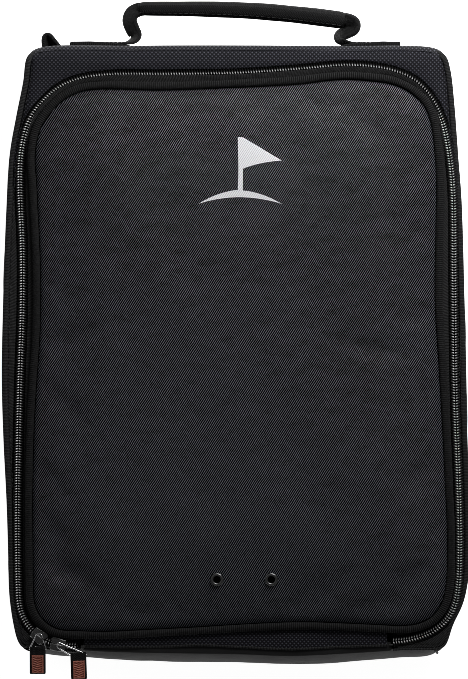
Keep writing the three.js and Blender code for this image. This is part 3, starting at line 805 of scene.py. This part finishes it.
def make_back():
    """The back panel lies flat on its outer face, bound inside along its seam and stiffened."""
    rim = rings(body, [(-3.4, 0.0), (-2.4, 0.35), (-2.0, 1.1), (-2.4, 1.9), (-3.4, 2.2)])
    n, m = rim.shape[:2]
    points = rim.reshape(-1, 3)
    faces = [
        [i * m + j, (i + 1) % n * m + j, (i + 1) % n * m + j + 1, i * m + j + 1]
        for i in range(n) for j in range(m - 1)
    ]
    faces += [[i * m for i in range(n)][::-1], [i * m + m - 1 for i in range(n)]]
    cloth = [points[v][:2] for face in faces for v in face]
    place(build("back_panel_cloth", points, faces, cloth), COATED, "bag", "coated_fabric", "back_panel")
    bead = loft("back_seam_tape", rings(body, oval(-3.6, 4.0, 0.9, 1.6, 10)), True)
    place(bead, GROSGRAIN, "bag", "grosgrain", "back_seam_binding")
    low, high = box("back_stiffener")
    plan = crossed(np.linspace(low.x, high.x, 90), np.linspace(low.y, high.y, 126))
    edge = np.minimum(
        np.minimum(plan[..., 0] - low.x, high.x - plan[..., 0]),
        np.minimum(plan[..., 1] - low.y, high.y - plan[..., 1]),
    )
    top = raised(plan, high.z + 0.4 - 2.2 * np.exp(-edge / 2.5))
    top[..., 2] += crumple(top, 45, 0.5, 2) * np.clip(edge / 20, 0, 1)
    board = skin("lined_back_board", top, 2.2)
    place(board, LINING, "bag", "lining", "back_stiffener")


def lathe(name, x, y, profile, sides=48):
    """A ring turned round an upright axis from a closed profile of (radius, level)."""
    around = np.linspace(0, 2 * pi, sides, endpoint=False)
    circle = Path([(x + cos(a), y + sin(a)) for a in around])
    return loft(name, rings(circle, [(r - 1, z) for r, z in profile]), True)


# ---- the zip -----------------------------------------------------------------


def room(path, other):
    """How far each point of a path is from another path."""
    return np.array([np.linalg.norm(other.p - p, axis=1).min() for p in path.p])


def coil(name, line, side):
    """A coil wound along the zip, outside its middle line (side 1) or inside it (-1)."""
    steps = 10
    turns = int(line.s[-1] / COIL_PITCH)
    turn = np.arange(turns * steps + 1) / steps
    at = sampled(turn * COIL_PITCH, line.s, line.p)
    out = unit(sampled(turn * COIL_PITCH, line.s, line.out))
    phase = 2 * pi * turn
    across = side * (COIL_NEAR + (COIL_FAR - COIL_NEAR) * (0.5 - 0.5 * np.cos(phase)))
    half = (COIL_HIGH - COIL_LOW) / 2 - COIL_WIRE
    z = (COIL_LOW + COIL_HIGH) / 2 + half * np.sin(phase)
    way = np.concatenate([at + out * across[:, None], z[:, None]], 1)
    forward = np.stack([-out[:, 1], out[:, 0], np.zeros(len(out))], 1)
    return tube(name, way, COIL_WIRE, 6, up=forward, measure=turn)


def make_zip():
    line = zip_line.part(RIGHT_END, LEFT_END, 1.0)
    place(coil("body_coil", line, 1), NYLON, "bag", "zip_coil", "body_zip_coil")
    place(coil("lid_coil", line, -1), NYLON, "lid", "zip_coil", "lid_zip_coil")
    low, high = TAPE_HIGH - 0.6, TAPE_HIGH
    coarse = zip_line.part(RIGHT_END, LEFT_END)
    for side, owner in ((1, "body"), (-1, "lid")):
        reach = np.full(len(coarse.p), 6.0)
        if side == 1:
            reach = np.minimum(reach, room(coarse, body) - WALL - 0.4)
        near, far = np.full_like(reach, side * 0.7), side * reach
        corners = [(near, low), (near, high), (far, high), (far, low)]
        sections = np.stack([np.stack([a, np.full_like(reach, z)], -1) for a, z in corners], 1)
        piece = loft(f"{owner}_tape", rings(coarse, sections))
        place(piece, TAPE, "bag" if side == 1 else "lid", "zip_tape", f"{owner}_zip_tape")
    for side in ("left", "right"):
        low, high = box(f"zip_end_stop_{side}")
        outline = [(low.x, low.y + 3), (high.x, low.y + 3), (high.x, high.y), (low.x, high.y)]
        stop = slab(f"{side}_end_stop", outline, low.z + 0.4, high.z + 0.6, 0.6)
        place(stop, NYLON, "bag", "zip_coil", f"zip_end_stop_{side}")


# ---- the lid -----------------------------------------------------------------

LID_MIDDLE = np.array((1.0, -4.0))
SEAM_LEVEL = 115.0  # where the twill dives into its seam with the border
SHOULDER = 1.9  # how quickly it rises beside that seam
CROWN = 5.6


def lid_grid(count, inset=0.0):
    """Plan points of squares inside squares, spread over the lid, with their share of the way out."""
    low, high = panel.p.min(0), panel.p.max(0)
    u = np.linspace(-1, 1, count)
    a, b = np.meshgrid(u, u, indexing="ij")
    ray = np.stack([a * (high[0] - low[0]), b * (high[1] - low[1])], -1)
    share = np.maximum(np.abs(a), np.abs(b))
    angles = np.degrees(np.arctan2(ray[..., 1], ray[..., 0]))
    reach = radius_at(panel, LID_MIDDLE, angles.ravel()).reshape(angles.shape) - inset
    return LID_MIDDLE + unit(ray) * (reach * share)[..., None], share, reach


def crown_level(share, reach):
    beside = (1 - share) * reach
    return SEAM_LEVEL + SHOULDER * (1 - np.exp(-beside / 2.0)) + CROWN * (1 - share**4)


def relax(obj, pinned, **settings):
    """Lets a sheet of cloth settle, held at its pinned points, and keeps the shape it takes."""
    obj.vertex_groups.new(name="held").add(pinned, 1.0, "REPLACE")
    modifier = obj.modifiers.new("Cloth", "CLOTH")
    modifier.settings.vertex_group_mass = "held"
    modifier.settings.effector_weights.gravity = 0
    for key, value in settings.items():
        setattr(modifier.settings, key, value)
    scene = bpy.context.scene
    for number in range(1, 21):
        scene.frame_set(number)
    settled = obj.evaluated_get(bpy.context.evaluated_depsgraph_get())
    points = np.array([v.co for v in settled.data.vertices])
    obj.modifiers.clear()
    obj.vertex_groups.clear()
    scene.frame_set(1)
    return points / MM


def folds(plan, share):
    """The broad, shallow folds of a cover that is sewn a little full over its foam."""
    slope = radians(-62)
    along = plan[..., 0] * cos(slope) + plan[..., 1] * sin(slope)
    across = plan[..., 0] * -sin(slope) + plan[..., 1] * cos(slope)
    diagonal = crumple(np.stack([across, along, 0 * along], -1), 26, 0.9, 11, (1, 0.28, 1))
    fine = crumple(raised(plan, 0), 24, 0.3, 4)
    return (diagonal + fine) * np.clip((1 - share) * 8, 0, 1)


def settle_lid(plan, share, level):
    """The cover's top points after it has settled, from a slightly flatter start."""
    count = len(plan)
    start = raised(plan, level)
    start[..., 2] += folds(plan, share)
    sheet = build("cover", start.reshape(-1, 3), grid_faces(count, count).tolist())
    held = np.flatnonzero(share.ravel() > 0.97).tolist()
    points = relax(
        sheet, held, quality=6, mass=0.3, tension_stiffness=30, compression_stiffness=30,
        shear_stiffness=10, bending_stiffness=4, shrink_min=-0.012, use_pressure=True,
        uniform_pressure_force=0.6,
    ).reshape(count, count, 3)
    bpy.data.objects.remove(sheet)
    limit = 2.5 * np.clip((1 - share) * 3, 0, 1)
    moved = points - start
    moved[..., 2] = np.clip(moved[..., 2], -limit, limit)
    moved[..., :2] = np.clip(moved[..., :2], -1.5, 1.5)
    return start + moved


def pierced(obj, radius=2.3):
    """Cuts the vent holes through a layer of the lid."""
    cutters = []
    for x, y in EYELETS:
        circle = [(x + radius * cos(a), y + radius * sin(a)) for a in np.linspace(0, 2 * pi, 25)[:-1]]
        cutters.append(slab("vent", circle, 100, 130))
    cutter = join("vents", cutters)
    modifier = obj.modifiers.new("Vents", "BOOLEAN")
    modifier.object = cutter
    modifier.solver = "EXACT"
    apply_modifiers(obj)
    bpy.data.objects.remove(cutter)
    return obj


def middle_of(node):
    """The middle of a node's box, in mm."""
    low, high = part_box(node)
    return (Vector(low) + Vector(high)) / 2 / MM


EYELETS = [tuple(middle_of(f"{side}_eyelet")[:2]) for side in ("left", "right")]


def make_lid():
    plan, share, reach = lid_grid(97)
    level = crown_level(share, reach)
    top = settle_lid(plan, share, level)
    cover = pierced(refine(skin("lid_face_twill", top, 0.9), 1))
    place(cover, TWILL, "lid", "twill_fabric", "lid_panel")
    plan, share, reach = lid_grid(49, 1.4)
    pad = skin("lid_foam_pad", raised(plan, crown_level(share, reach) - 2.6), 1.6)
    place(pierced(pad), FOAM, "lid", "foam", "lid_foam")
    plan, share, reach = lid_grid(65, 0.4)
    inside = raised(plan, crown_level(share, reach) - 4.6 + 0.7 * folds(plan, share))
    sheet = refine(skin("lid_lining_cloth", inside, 0.6), 1)
    place(pierced(sheet), LINING, "lid", "lining", "lid_lining")
    ribbed = Path(panel.p[::2])
    middle = rings(ribbed, [(2, 115)])
    puff = 2.1 + crumple(middle, 16, 0.25, 9)[:, 0]
    wide = BORDER_WIDTH / 2 + crumple(middle, 24, 0.2, 19)[:, 0]
    sections = oval(BORDER_WIDTH / 2 + 0.1, BORDER_HIGH - puff, wide, puff, 18, 2.3)
    roll = loft("lid_border_roll", rings(ribbed, sections), True)
    place(roll, GROSGRAIN, "lid", "grosgrain", "lid_border")
    angles = np.arange(-60.5, 242, 0.8)
    top_share = np.clip((zip_line.p[:, 1] - 112) / 32, 0, 1)
    beside = zip_line.moved(-(COIL_FAR + 0.3 - 3.3 * top_share))
    plan = between(panel.moved(BORDER_WIDTH - 0.5), beside, (0, 0), angles, np.linspace(0, 1, 6))
    lift = np.clip((plan[..., 1] - 112) / 32, 0, 1) * np.linspace(0, 1, 6)
    flange = refine(skin("lid_flange_tape", raised(plan, 113.4 + 1.5 * lift), 0.7, ribbon=True), 1)
    place(flange, BINDING, "lid", "grosgrain")


def level_finder(obj):
    """A function that gives the top level of a piece at a place in the plan."""
    tree = BVHTree.FromObject(obj, bpy.context.evaluated_depsgraph_get())

    def level(x, y):
        hit = tree.ray_cast(Vector((x * MM, y * MM, 1)), Vector((0, 0, -1)))[0]
        return hit.z / MM if hit else BORDER_HIGH

    return level


def make_eyelets(level):
    for side, (x, y) in zip(("left", "right"), EYELETS):
        face = max(level(x + 3.4 * cos(a), y + 3.4 * sin(a)) for a in np.linspace(0, 6, 9))
        profile = [
            (2.0, face - 6.2), (2.4, face - 6.2), (2.4, face - 0.4), (3.7, face - 0.3),
            (4.0, face + 0.1), (3.8, face + 0.55), (3.2, face + 0.85), (2.6, face + 0.8),
            (2.15, face + 0.45), (2.0, face - 0.2),
        ]
        place(lathe(f"{side}_eyelet_ring", x, y, profile), GUNMETAL, "lid", "gunmetal", f"{side}_eyelet")
        under = [(2.5, -6.3), (4.0, -6.2), (4.1, -5.9), (3.9, -5.6), (2.5, -5.5)]
        under = [(radius, face + z) for radius, z in under]
        washer = lathe(f"{side}_vent_washer", x, y, under)
        place(washer, GUNMETAL, "lid", "gunmetal", f"{side}_eyelet_washer")


def rounded(corners, radius):
    """A closed line through corners that are rounded off."""
    c = np.array(corners, float)
    line = []
    for before, corner, after in zip(np.roll(c, 1, 0), c, np.roll(c, -1, 0)):
        start, end = (corner + unit(to - corner) * radius for to in (before, after))
        line.append(bend(start, corner, end, 6))
        line.append(end[None])
    return np.concatenate(line)


def bend(a, b, c, count=8):
    """Points on a quadratic curve from a to c, without c."""
    t = np.linspace(0, 1, count, endpoint=False)[:, None]
    a, b, c = map(np.array, (a, b, c))
    return (1 - t) ** 2 * a + 2 * t * (1 - t) * b + t**2 * c


def make_print(level):
    """A flag on a pole over a low mound, in pale ink that follows the lid."""
    low, high = box("front_print")
    x0, y0 = (low.x + high.x) / 2 - 1, (low.y + high.y) / 2 - 1
    outline = np.concatenate([
        bend((-24, -19), (0, -11), (26, -19)), bend((26, -19), (14, -12), (2.6, -11)),
        [(2.6, -11), (2.6, 2)], bend((2.6, 2), (12, 6), (26, 7)), bend((26, 7), (14, 14), (2.6, 21)),
        [(2.6, 21), (-0.4, 21), (-0.4, -10.6)], bend((-0.4, -10.6), (-13, -12), (-24, -19)),
    ]) + (x0, y0)
    outline = outline[np.linalg.norm(outline - np.roll(outline, 1, 0), axis=1) > 0.01]
    inner = np.stack(np.meshgrid(np.arange(low.x, high.x, 1.5), np.arange(low.y, high.y, 1.5)), -1)
    plan = [Vector(p) for p in [*outline, *inner.reshape(-1, 2)]]
    plan, _, faces, *_ = delaunay_2d_cdt(plan, [], [list(range(len(outline)))], 1, 0.0001)
    work = bmesh.new()
    verts = [work.verts.new((p.x, p.y, 0)) for p in plan]
    for face in faces:
        work.faces.new([verts[i] for i in face])
    bmesh.ops.delete(work, geom=[v for v in work.verts if not v.link_faces], context="VERTS")
    for v in work.verts:
        v.co = Vector((v.co.x, v.co.y, level(v.co.x, v.co.y) + 0.14)) * MM
    lower = bmesh.ops.extrude_face_region(work, geom=work.faces[:])["geom"]
    for v in (g for g in lower if isinstance(g, bmesh.types.BMVert)):
        v.co.z -= 0.24 * MM
    bmesh.ops.recalc_face_normals(work, faces=work.faces)
    mesh = bpy.data.meshes.new("flag_print")
    work.to_mesh(mesh)
    work.free()
    place(added("flag_print", mesh), INK, "lid", "print", "front_print")


# ---- the sewn hinge ----------------------------------------------------------

FREE_EDGE = [
    (-92, -178), (-70, -178.6), (-40, -178.2), (-22, -177.4), (5, -178.6), (33, -179.8),
    (65, -178.4), (94, -177.4),
]


def make_hinge():
    xs = np.arange(ZIP_LEFT + 2, ZIP_RIGHT - 1.5, 2.0)
    edge = spline(FREE_EDGE, False, 1.0)
    foot = np.interp(xs, edge[:, 0], edge[:, 1])
    low = panel.part((-100, -170), (110, -164), 1.0)
    head = np.interp(xs, low.p[:, 0], low.p[:, 1]) - 1.0
    shares = np.linspace(0, 1, 15)
    ys = foot[:, None] + (head - foot)[:, None] * shares
    plan = np.stack([np.broadcast_to(xs[:, None], ys.shape), ys], -1)
    top = raised(plan, 113.9 + 0.5 * np.sin(pi * shares))
    top[..., 2] += crumple(top, 14, 0.5, 6)
    top[..., 2] -= 0.6 * np.clip((top[..., 1] - foot[:, None] - 8) / 4, 0, 1)
    strip = refine(skin("hinge_strip_cloth", top, 0.9), 1)
    edge_way = np.stack([xs, foot - 0.2, top[:, 0, 2] - 0.3], 1)
    bead = tube("hinge_strip_binding", edge_way, 0.8, 10, flat=0.8)
    for obj, look, slot in ((strip, DOBBY, "dobby_fabric"), (bead, BINDING, "grosgrain")):
        obj.data.materials.append(look)
        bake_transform(obj)
    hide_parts("hinge_strip_lid")


# ---- sliders and pulls -------------------------------------------------------


def arch():
    """The line of the bridge that holds the pull, along the slider and up."""
    half = [(-3.3, 114.9), (-3.1, 116.6), (-2.3, 117.8)]
    points = [*half, (0, 118.2), *((-x, z) for x, z in half[::-1])]
    return [(x, 0, z) for x, z in spline(points, False, 0.5)]


def turned(obj, matrix):
    obj.data.transform(matrix)
    return obj


SLIDER_PLAN = [
    (-4.7, -2.6), (-4.2, -3.3), (2.0, -4.1), (3.6, -3.9), (4.6, -2.6), (4.0, -1.2), (3.4, 0),
    (4.0, 1.2), (4.6, 2.6), (3.6, 3.9), (2.0, 4.1), (-4.2, 3.3), (-4.7, 2.6),
]
UPPER_PLATE, LOWER_PLATE, WEDGE = (114.45, 115.25), (109.7, 110.7), (110.4, 114.8)  # levels
LOWER_SHARE = 0.88  # the lower plate is narrower
RAIL_OUT = 3.7


def make_slider(number):
    """Two plates joined by a wedge at the nose, with a bridge on top that holds the pull."""
    top = slab("plate", SLIDER_PLAN, *UPPER_PLATE, 0.3)
    bottom = slab("plate", [(x, LOWER_SHARE * y) for x, y in SLIDER_PLAN], *LOWER_PLATE, 0.3)
    wedge = slab("wedge", [(0.8, -0.45), (3.3, -0.45), (3.3, 0.45), (0.8, 0.45)], *WEDGE)
    rails = []
    for y in (-RAIL_OUT, RAIL_OUT):
        way = [(-4.2, y * 0.85, 115.1), (-1, y * 0.93, 115.25), (2.2, y, 115.25), (3.6, y * 0.9, 115.1)]
        rails.append(tube("rail", way, 0.42, 8))
    bridge = tube("bridge", arch(), 0.85, 12, flat=0.45, up=(0, 1, 0))
    whole = join(f"slider_{number}_metal", [top, bottom, wedge, *rails, bridge])
    at = Vector(JOINTS[f"pull_{number}_swing"]["pos_m"])
    angle = atan2(at.y / MM - CORNER.y, at.x / MM - CORNER.x)
    heading = angle + (pi / 2 if number == 1 else -pi / 2)
    turned(whole, Matrix.Translation((at.x, at.y, 0)) @ Matrix.Rotation(heading, 4, "Z"))
    place(whole, GUNMETAL, ("slider_one", "slider_two")[number - 1], "gunmetal", f"slider_{number}")


def axes_of(node, forward):
    """The frame of a flat node: its middle, with X along it, Z out of it, and its size in mm."""
    co = np.array([v.co for v in frame["nodes"][node].data.vertices]) / MM
    corners = np.unique(co.round(3), axis=0)
    spread = np.linalg.eigh(np.cov((corners - corners.mean(0)).T))[1].T
    up = max(spread, key=lambda v: abs(v[2]))
    up = up * np.sign(up[2])
    x = max((v for v in spread if abs(v @ up) < 0.5), key=lambda v: abs(v @ np.array(forward)))
    x = x * np.sign(x @ np.array(forward))
    y = np.cross(up, x)
    axes = np.array([x, y, up])
    local = (corners - corners.mean(0)) @ axes.T
    middle = corners.mean(0) + (local.max(0) + local.min(0)) / 2 @ axes
    matrix = Matrix.Translation(Vector(middle) * MM) @ Matrix(axes.T.tolist()).to_4x4()
    return matrix, local.max(0) - local.min(0)


def make_pull(number):
    """A wire link, a folded tape and the moulded insert on it."""
    body_name = ("pull_one", "pull_two")[number - 1]
    forward = ((0, -1, 0), (1, -0.35, 0))[number - 1]
    link_matrix, link_size = axes_of(f"pull_{number}_link", forward)
    matrix, (length, width, thick) = axes_of(f"pull_{number}_tape", (0, -1, 0))
    far = [matrix @ (Vector((-0.8 - length / 2, y * (width / 2 + 0.3), 0)) * MM) for y in (1, -1)]
    near = [link_matrix @ (Vector((0.4 - link_size[0] / 2, y, 0)) * MM) for y in (-1.45, 1.45)]
    this_way = (near[0] - far[1]).length + (near[1] - far[0]).length
    other_way = (near[0] - far[0]).length + (near[1] - far[1]).length
    if this_way > other_way:
        far.reverse()
    way = rounded([tuple(v / MM) for v in (*near, *far)], 0.9)
    link = tube(f"pull_{number}_wire", way, 0.42, 10, closed=True)
    place(link, BRIGHT, body_name, "bright_wire", f"pull_{number}_link")

    fold, end = -length / 2, length / 2
    x = np.concatenate([np.linspace(fold - 2.2, fold + 2, 8), np.linspace(fold + 3, end, 24)])
    swell = 1 + 0.5 * np.exp(-(((x + length / 2 + 1.6) / 1.5) ** 2))
    tip = np.clip((length / 2 - x) / 0.8, 0.35, 1)
    sections = oval(0, 0, (width / 2) * (0.93 + 0.07 * tip), thick / 2 * swell * tip, 24, 5)
    grid = np.concatenate([np.broadcast_to(x[:, None, None], (len(x), 24, 1)), sections], -1)
    tab = turned(loft(f"pull_{number}_fold", grid), matrix)
    place(tab, WEBBING, body_name, "webbing", f"pull_{number}_tape")

    matrix, (length, width, thick) = axes_of(f"pull_{number}_insert", (0, -1, 0))
    plan = crossed(np.linspace(-length / 2, length / 2, 81), np.linspace(-width / 2, width / 2, 33))
    ribs = 0.28 * np.sin(2 * pi * (plan[..., 0] + 0.35 * np.abs(plan[..., 1])) / 1.35)
    rim = np.minimum(length / 2 - np.abs(plan[..., 0]), width / 2 - np.abs(plan[..., 1]))
    z = np.where(rim < 0.7, 0.35, ribs) * np.clip(rim / 0.3, 0, 1) - 0.2 * (rim < 0.1)
    obj = turned(skin(f"pull_{number}_rubber", raised(plan, z - 0.12), thick), matrix)
    place(obj, RUBBER, body_name, "red_rubber", f"pull_{number}_insert")


# ---- the handle and the loop -------------------------------------------------

HANDLE_Z = JOINTS["handle_swing"]["pos_m"][2] / MM
GRIP_LINE = [(-57.6, 205.2), (-20, 204.9), (12, 203.7), (40, 201.2), (66, 198.0)]
GRIP_HALF = [(-58, 4.2), (0, 4.9), (66, 5.3)]
RIBBONS = {  # a line in the plan, with each point's width and its twist from edge-on
    "left": [
        (-76, 183.6, 24, 0), (-68, 184, 24, 0), (-62.2, 185.6, 20, 8), (-60, 189, 14, 24),
        (-62, 193, 11.5, 38), (-63.6, 197.6, 11, 42), (-62.6, 201.6, 10, 48),
        (-58.6, 204.4, 8.6, 62), (-53, 205, 7.4, 80),
    ],
    "right": [
        (80, 183.6, 24, 0), (72, 184, 24, 0), (64.4, 185.4, 20, 8), (63, 188.4, 14, 22),
        (67, 191, 11.5, 36), (70.6, 193.2, 11, 44), (71, 196, 10, 52), (67.4, 198.2, 8.6, 64),
        (61, 198.6, 7.4, 80),
    ],
}


def at_level(line, z):
    """A line in the plan, at one level in space."""
    return np.concatenate([line[:, :2], np.full((len(line), 1), z)], 1)


def make_ribbon(side):
    line = spline(RIBBONS[side], False, 0.7)
    p = at_level(line, HANDLE_Z)
    along = unit(np.gradient(p, axis=0))
    flat = np.cross(along, (0, 0, 1))
    twist = np.radians(line[:, 3])[:, None]
    wide = np.cos(twist) * UP + np.sin(twist) * flat
    thick = unit(np.cross(along, wide))
    shape = oval(0, 0, line[:, 2] / 2, 0.85 + 1.1 * np.clip((24 - line[:, 2]) / 16, 0, 1), 20, 5)
    grid = p[:, None] + wide[:, None] * shape[..., :1] + thick[:, None] * shape[..., 1:]
    ribbon = refine(loft(f"{side}_handle_ribbon", grid), 1)
    ribbon.data.materials.append(WEBBING)
    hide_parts(f"handle_strap_{side}")
    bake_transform(ribbon)


def make_grip():
    """Webbing wrapped round a rolled core and closed with a lengthwise seam."""
    line = spline(GRIP_LINE, False, 1.0)
    p = at_level(line, HANDLE_Z)
    along = unit(np.gradient(p, axis=0))
    side = unit(np.cross(along, (0, 0, 1)))
    half = np.interp(line[:, 0], *np.array(GRIP_HALF).T)
    t = np.linspace(0, 2 * pi, 40, endpoint=False)
    seam = radians(38)
    groove = 0.9 * np.exp(-(((t - seam + pi) % (2 * pi) - pi) / 0.09) ** 2)
    lap = 0.35 * (((t - seam) % (2 * pi)) < 1.4)
    s = np.arange(len(line)) / (len(line) - 1)
    ends = 1 - 0.25 * np.exp(-np.minimum(s, 1 - s) * len(line) / 1.2)
    lumps = 1 + 0.03 * crumple(p[:, None], 14, 1.0, 21)[:, 0]
    r = (half * ends * lumps)[:, None] - groove + lap
    grid = p[:, None] + side[:, None] * (r * np.cos(t))[..., None] + UP * (1.05 * r * np.sin(t))[..., None]
    place(loft("grip_sleeve", grid), WEBBING, "handle", "webbing", "handle_grip")
    core_line = p[2:-2]
    ends = [core_line[0] - along[0] * 3.2, *core_line, core_line[-1] + along[-1] * 3.2]
    core = tube("grip_core_roll", even(np.array(ends), 2.0), 2.9, 20)
    place(core, WEBBING, "handle", "webbing", "handle_core")
    beside = seam + 0.28
    over = side * (half * cos(beside))[:, None] + UP * (1.05 * half * sin(beside))[:, None]
    return p + over * 1.06


def stitch_row(way, up, length=2.2, gap=1.0, radius=0.17):
    """Short threads laid along a line in space, each one dipping into the cloth at its ends."""
    s = distances(way)
    up = np.broadcast_to(up, way.shape)
    made = []
    for start in np.arange(0.5, s[-1] - length, length + gap):
        at = start + length * np.array([0, 0.15, 0.5, 0.85, 1.0])
        rise = np.array([-0.2, 0.06, 0.12, 0.06, -0.2])[:, None]
        p = sampled(at, s, way) + sampled(at, s, up) * rise
        made.append((p, radius))
    return made


def threads(name, rows):
    """One object of many stitches."""
    sides, points, faces = 6, [], []
    t = np.linspace(0, 2 * pi, sides, endpoint=False)
    for p, radius in rows:
        along = unit(np.gradient(p, axis=0))
        side = unit(np.cross(along, (0.13, 0.21, 0.97)))
        over = np.cross(side, along)
        ring = p[:, None] + radius * (side[:, None] * np.cos(t)[:, None] + over[:, None] * np.sin(t)[:, None])
        first, m = len(points), len(p)
        points += ring.reshape(-1, 3).tolist()
        faces += [
            [first + i * sides + j, first + (i + 1) * sides + j,
             first + (i + 1) * sides + (j + 1) % sides, first + i * sides + (j + 1) % sides]
            for i in range(m - 1) for j in range(sides)
        ]
        last = first + (m - 1) * sides
        faces += [[first + j for j in range(sides)][::-1], [last + j for j in range(sides)]]
    return build(name, points, faces)


def make_handle():
    for side in ("left", "right"):
        make_ribbon(side)
        low, high = box(f"handle_anchor_{side}")
        z = np.linspace(low.z, high.z, 21)
        x = np.linspace(low.x, high.x, 31)
        grid = np.array([[(a, 0, b) for b in z] for a in x])
        plan = grid[..., [0, 2]]
        rise, fall = np.clip(np.abs(x) - 66, 0, 22) / 22, np.clip(72 - np.abs(x), 0, 9) / 9
        lift = 1.1 * (rise - fall)[:, None]
        bulge = high.y - 0.3 + lift + crumple(grid, 9, 0.3, 31)
        flat = np.concatenate([plan, bulge[..., None]], -1)
        patch = skin(f"{side}_handle_anchor", flat, 3.4)
        turn = Matrix(((1, 0, 0, 0), (0, 0, 1, 0), (0, 1, 0, 0), (0, 0, 0, 1)))
        patch.data.transform(turn)
        patch.data.flip_normals()
        place(refine(patch, 1), WEBBING, "bag", "webbing", f"handle_anchor_{side}")
        y = high.y + 0.3
        x0, x1, z0, z1 = low.x + 2.5, high.x - 2.5, low.z + 2.5, high.z - 2.5
        crossed_box = [(x0, z0), (x1, z0), (x1, z1), (x0, z1), (x0, z0), (x1, z1), (x1, z0), (x0, z1)]
        rows = []
        for (a, b), (c, d) in zip(crossed_box, crossed_box[1:]):
            way = even(np.array([(a, y, b), (c, y, d)], float), 2.0)
            rows += stitch_row(way, (0, 1, 0), 1.8, 0.8, 0.2)
        place(threads(f"{side}_anchor_stitches", rows), THREAD, "bag", "webbing")
    seam = make_grip()
    lift = unit(np.gradient(seam, axis=0))
    row = stitch_row(seam, np.cross(lift, (0, 0, 1)), 2.4, 0.9, 0.2)
    place(threads("grip_stitches", row), THREAD, "handle", "webbing")


def make_loop():
    low, high = box("loop_tab")
    way = [
        (high.x + 1.0, low.y - 0.8), (high.x - 1.6, low.y + 2.4), (high.x - 4.4, high.y - 1.6),
        (low.x + 1.5, high.y - 0.6), (low.x + 0.7, high.y - 2.6), (low.x + 1.2, low.y - 0.8),
    ]
    line = spline(way, False, 0.5)
    p = at_level(line, (low.z + high.z) / 2)
    side = np.cross(unit(np.gradient(p, axis=0)), (0, 0, 1))
    turn = radians(22)
    shape = oval(0, 0, (high.z - low.z) / 2, 1.3, 16, 5)
    wide = cos(turn) * UP + sin(turn) * side
    thick = cos(turn) * side - sin(turn) * UP
    grid = p[:, None] + wide[:, None] * shape[:, :, :1] + thick[:, None] * shape[:, :, 1:]
    place(refine(loft("hanging_loop", grid), 1), WEBBING, "bag", "webbing", "loop_tab")


def make_seams():
    """Topstitching beside the edge bindings."""
    rows = []
    left = (-SPLIT_X - 3, 170), (ZIP_LEFT - 6, FOOT_SEAM)
    right = (ZIP_RIGHT + 6, FOOT_SEAM), (SPLIT_X + 3, 170)
    for start, end in (left, right):
        line = front_edge.part(start, end, 2.0).moved(-3.6)
        rows += stitch_row(raised(line.p[:, None], 113.75)[:, 0], (0, 0, 1), 2.4, 1.0, 0.16)
    place(threads("binding_stitches", rows), THREAD, "bag", "grosgrain")


# ---- stage -------------------------------------------------------------------


def make_stage():
    size = 9.0
    points = [(-size, -size, 0), (size, -size, 0), (size, size, 0), (-size, size, 0)]
    floor = build("floor", np.array(points) / MM - (0, 0, 0.05), [[0, 1, 2, 3]])
    glow = {"Emission_Color": (1, 1, 1, 1), "Emission_Strength": 0.92}
    look = Look("pale_floor", 0.9, Specular_IOR_Level=0.1, **glow)
    look.colour(look.noise(400, 2), grey(0.93), grey(0.95))
    floor.data.materials.append(look.material)


def area_light(name, size, at, target, power, tone=(1, 1, 1)):
    data = bpy.data.lights.new(name, "AREA")
    data.shape = "RECTANGLE"
    data.size, data.size_y = size
    data.energy = power
    data.color = tone
    light = added(name, data)
    light.location = at
    light.rotation_mode = "QUATERNION"
    light.rotation_quaternion = (Vector(target) - Vector(at)).to_track_quat("-Z", "Y")


CAMERA_HEIGHT = 10.0
PICTURE_HEIGHT = 0.4074  # what the picture spans at the level of the bag's front
SENSOR = 36.0


def make_camera():
    low, high = CAD_LOW, CAD_HIGH
    data = bpy.data.cameras.new("camera")
    data.sensor_width = SENSOR
    data.lens = SENSOR * (CAMERA_HEIGHT - FRONT * MM) / PICTURE_HEIGHT
    data.clip_end = 50
    camera = added("camera", data)
    camera.location = ((low.x + high.x) / 2 - 0.0008, (low.y + high.y) / 2 + 0.0002, CAMERA_HEIGHT)
    bpy.context.scene.camera = camera


def make_lights():
    area_light("key", (0.4, 0.4), (0.22, 0.48, 0.5), (0.03, 0.05, 0.1), 4.3)
    area_light("fill", (0.8, 0.8), (-0.8, 0.4, 1.0), (0, 0, 0.1), 0.5)
    world = bpy.data.worlds.new("studio")
    world.use_nodes = True
    sky = world.node_tree.nodes["Background"].inputs
    sky["Color"].default_value = (1, 1, 1, 1)
    sky["Strength"].default_value = 0.11
    scene = bpy.context.scene
    scene.world = world
    scene.view_settings.view_transform = "Standard"
    scene.cycles.filter_width = 0.8


make_gussets()
make_front()
make_bindings()
make_back()
make_zip()
make_lid()
lid_level = level_finder(bpy.data.objects["lid_face_twill"])
make_eyelets(lid_level)
make_print(lid_level)
make_hinge()
for number in (1, 2):
    make_slider(number)
    make_pull(number)
make_handle()
make_loop()
make_seams()
make_stage()
make_camera()
make_lights()
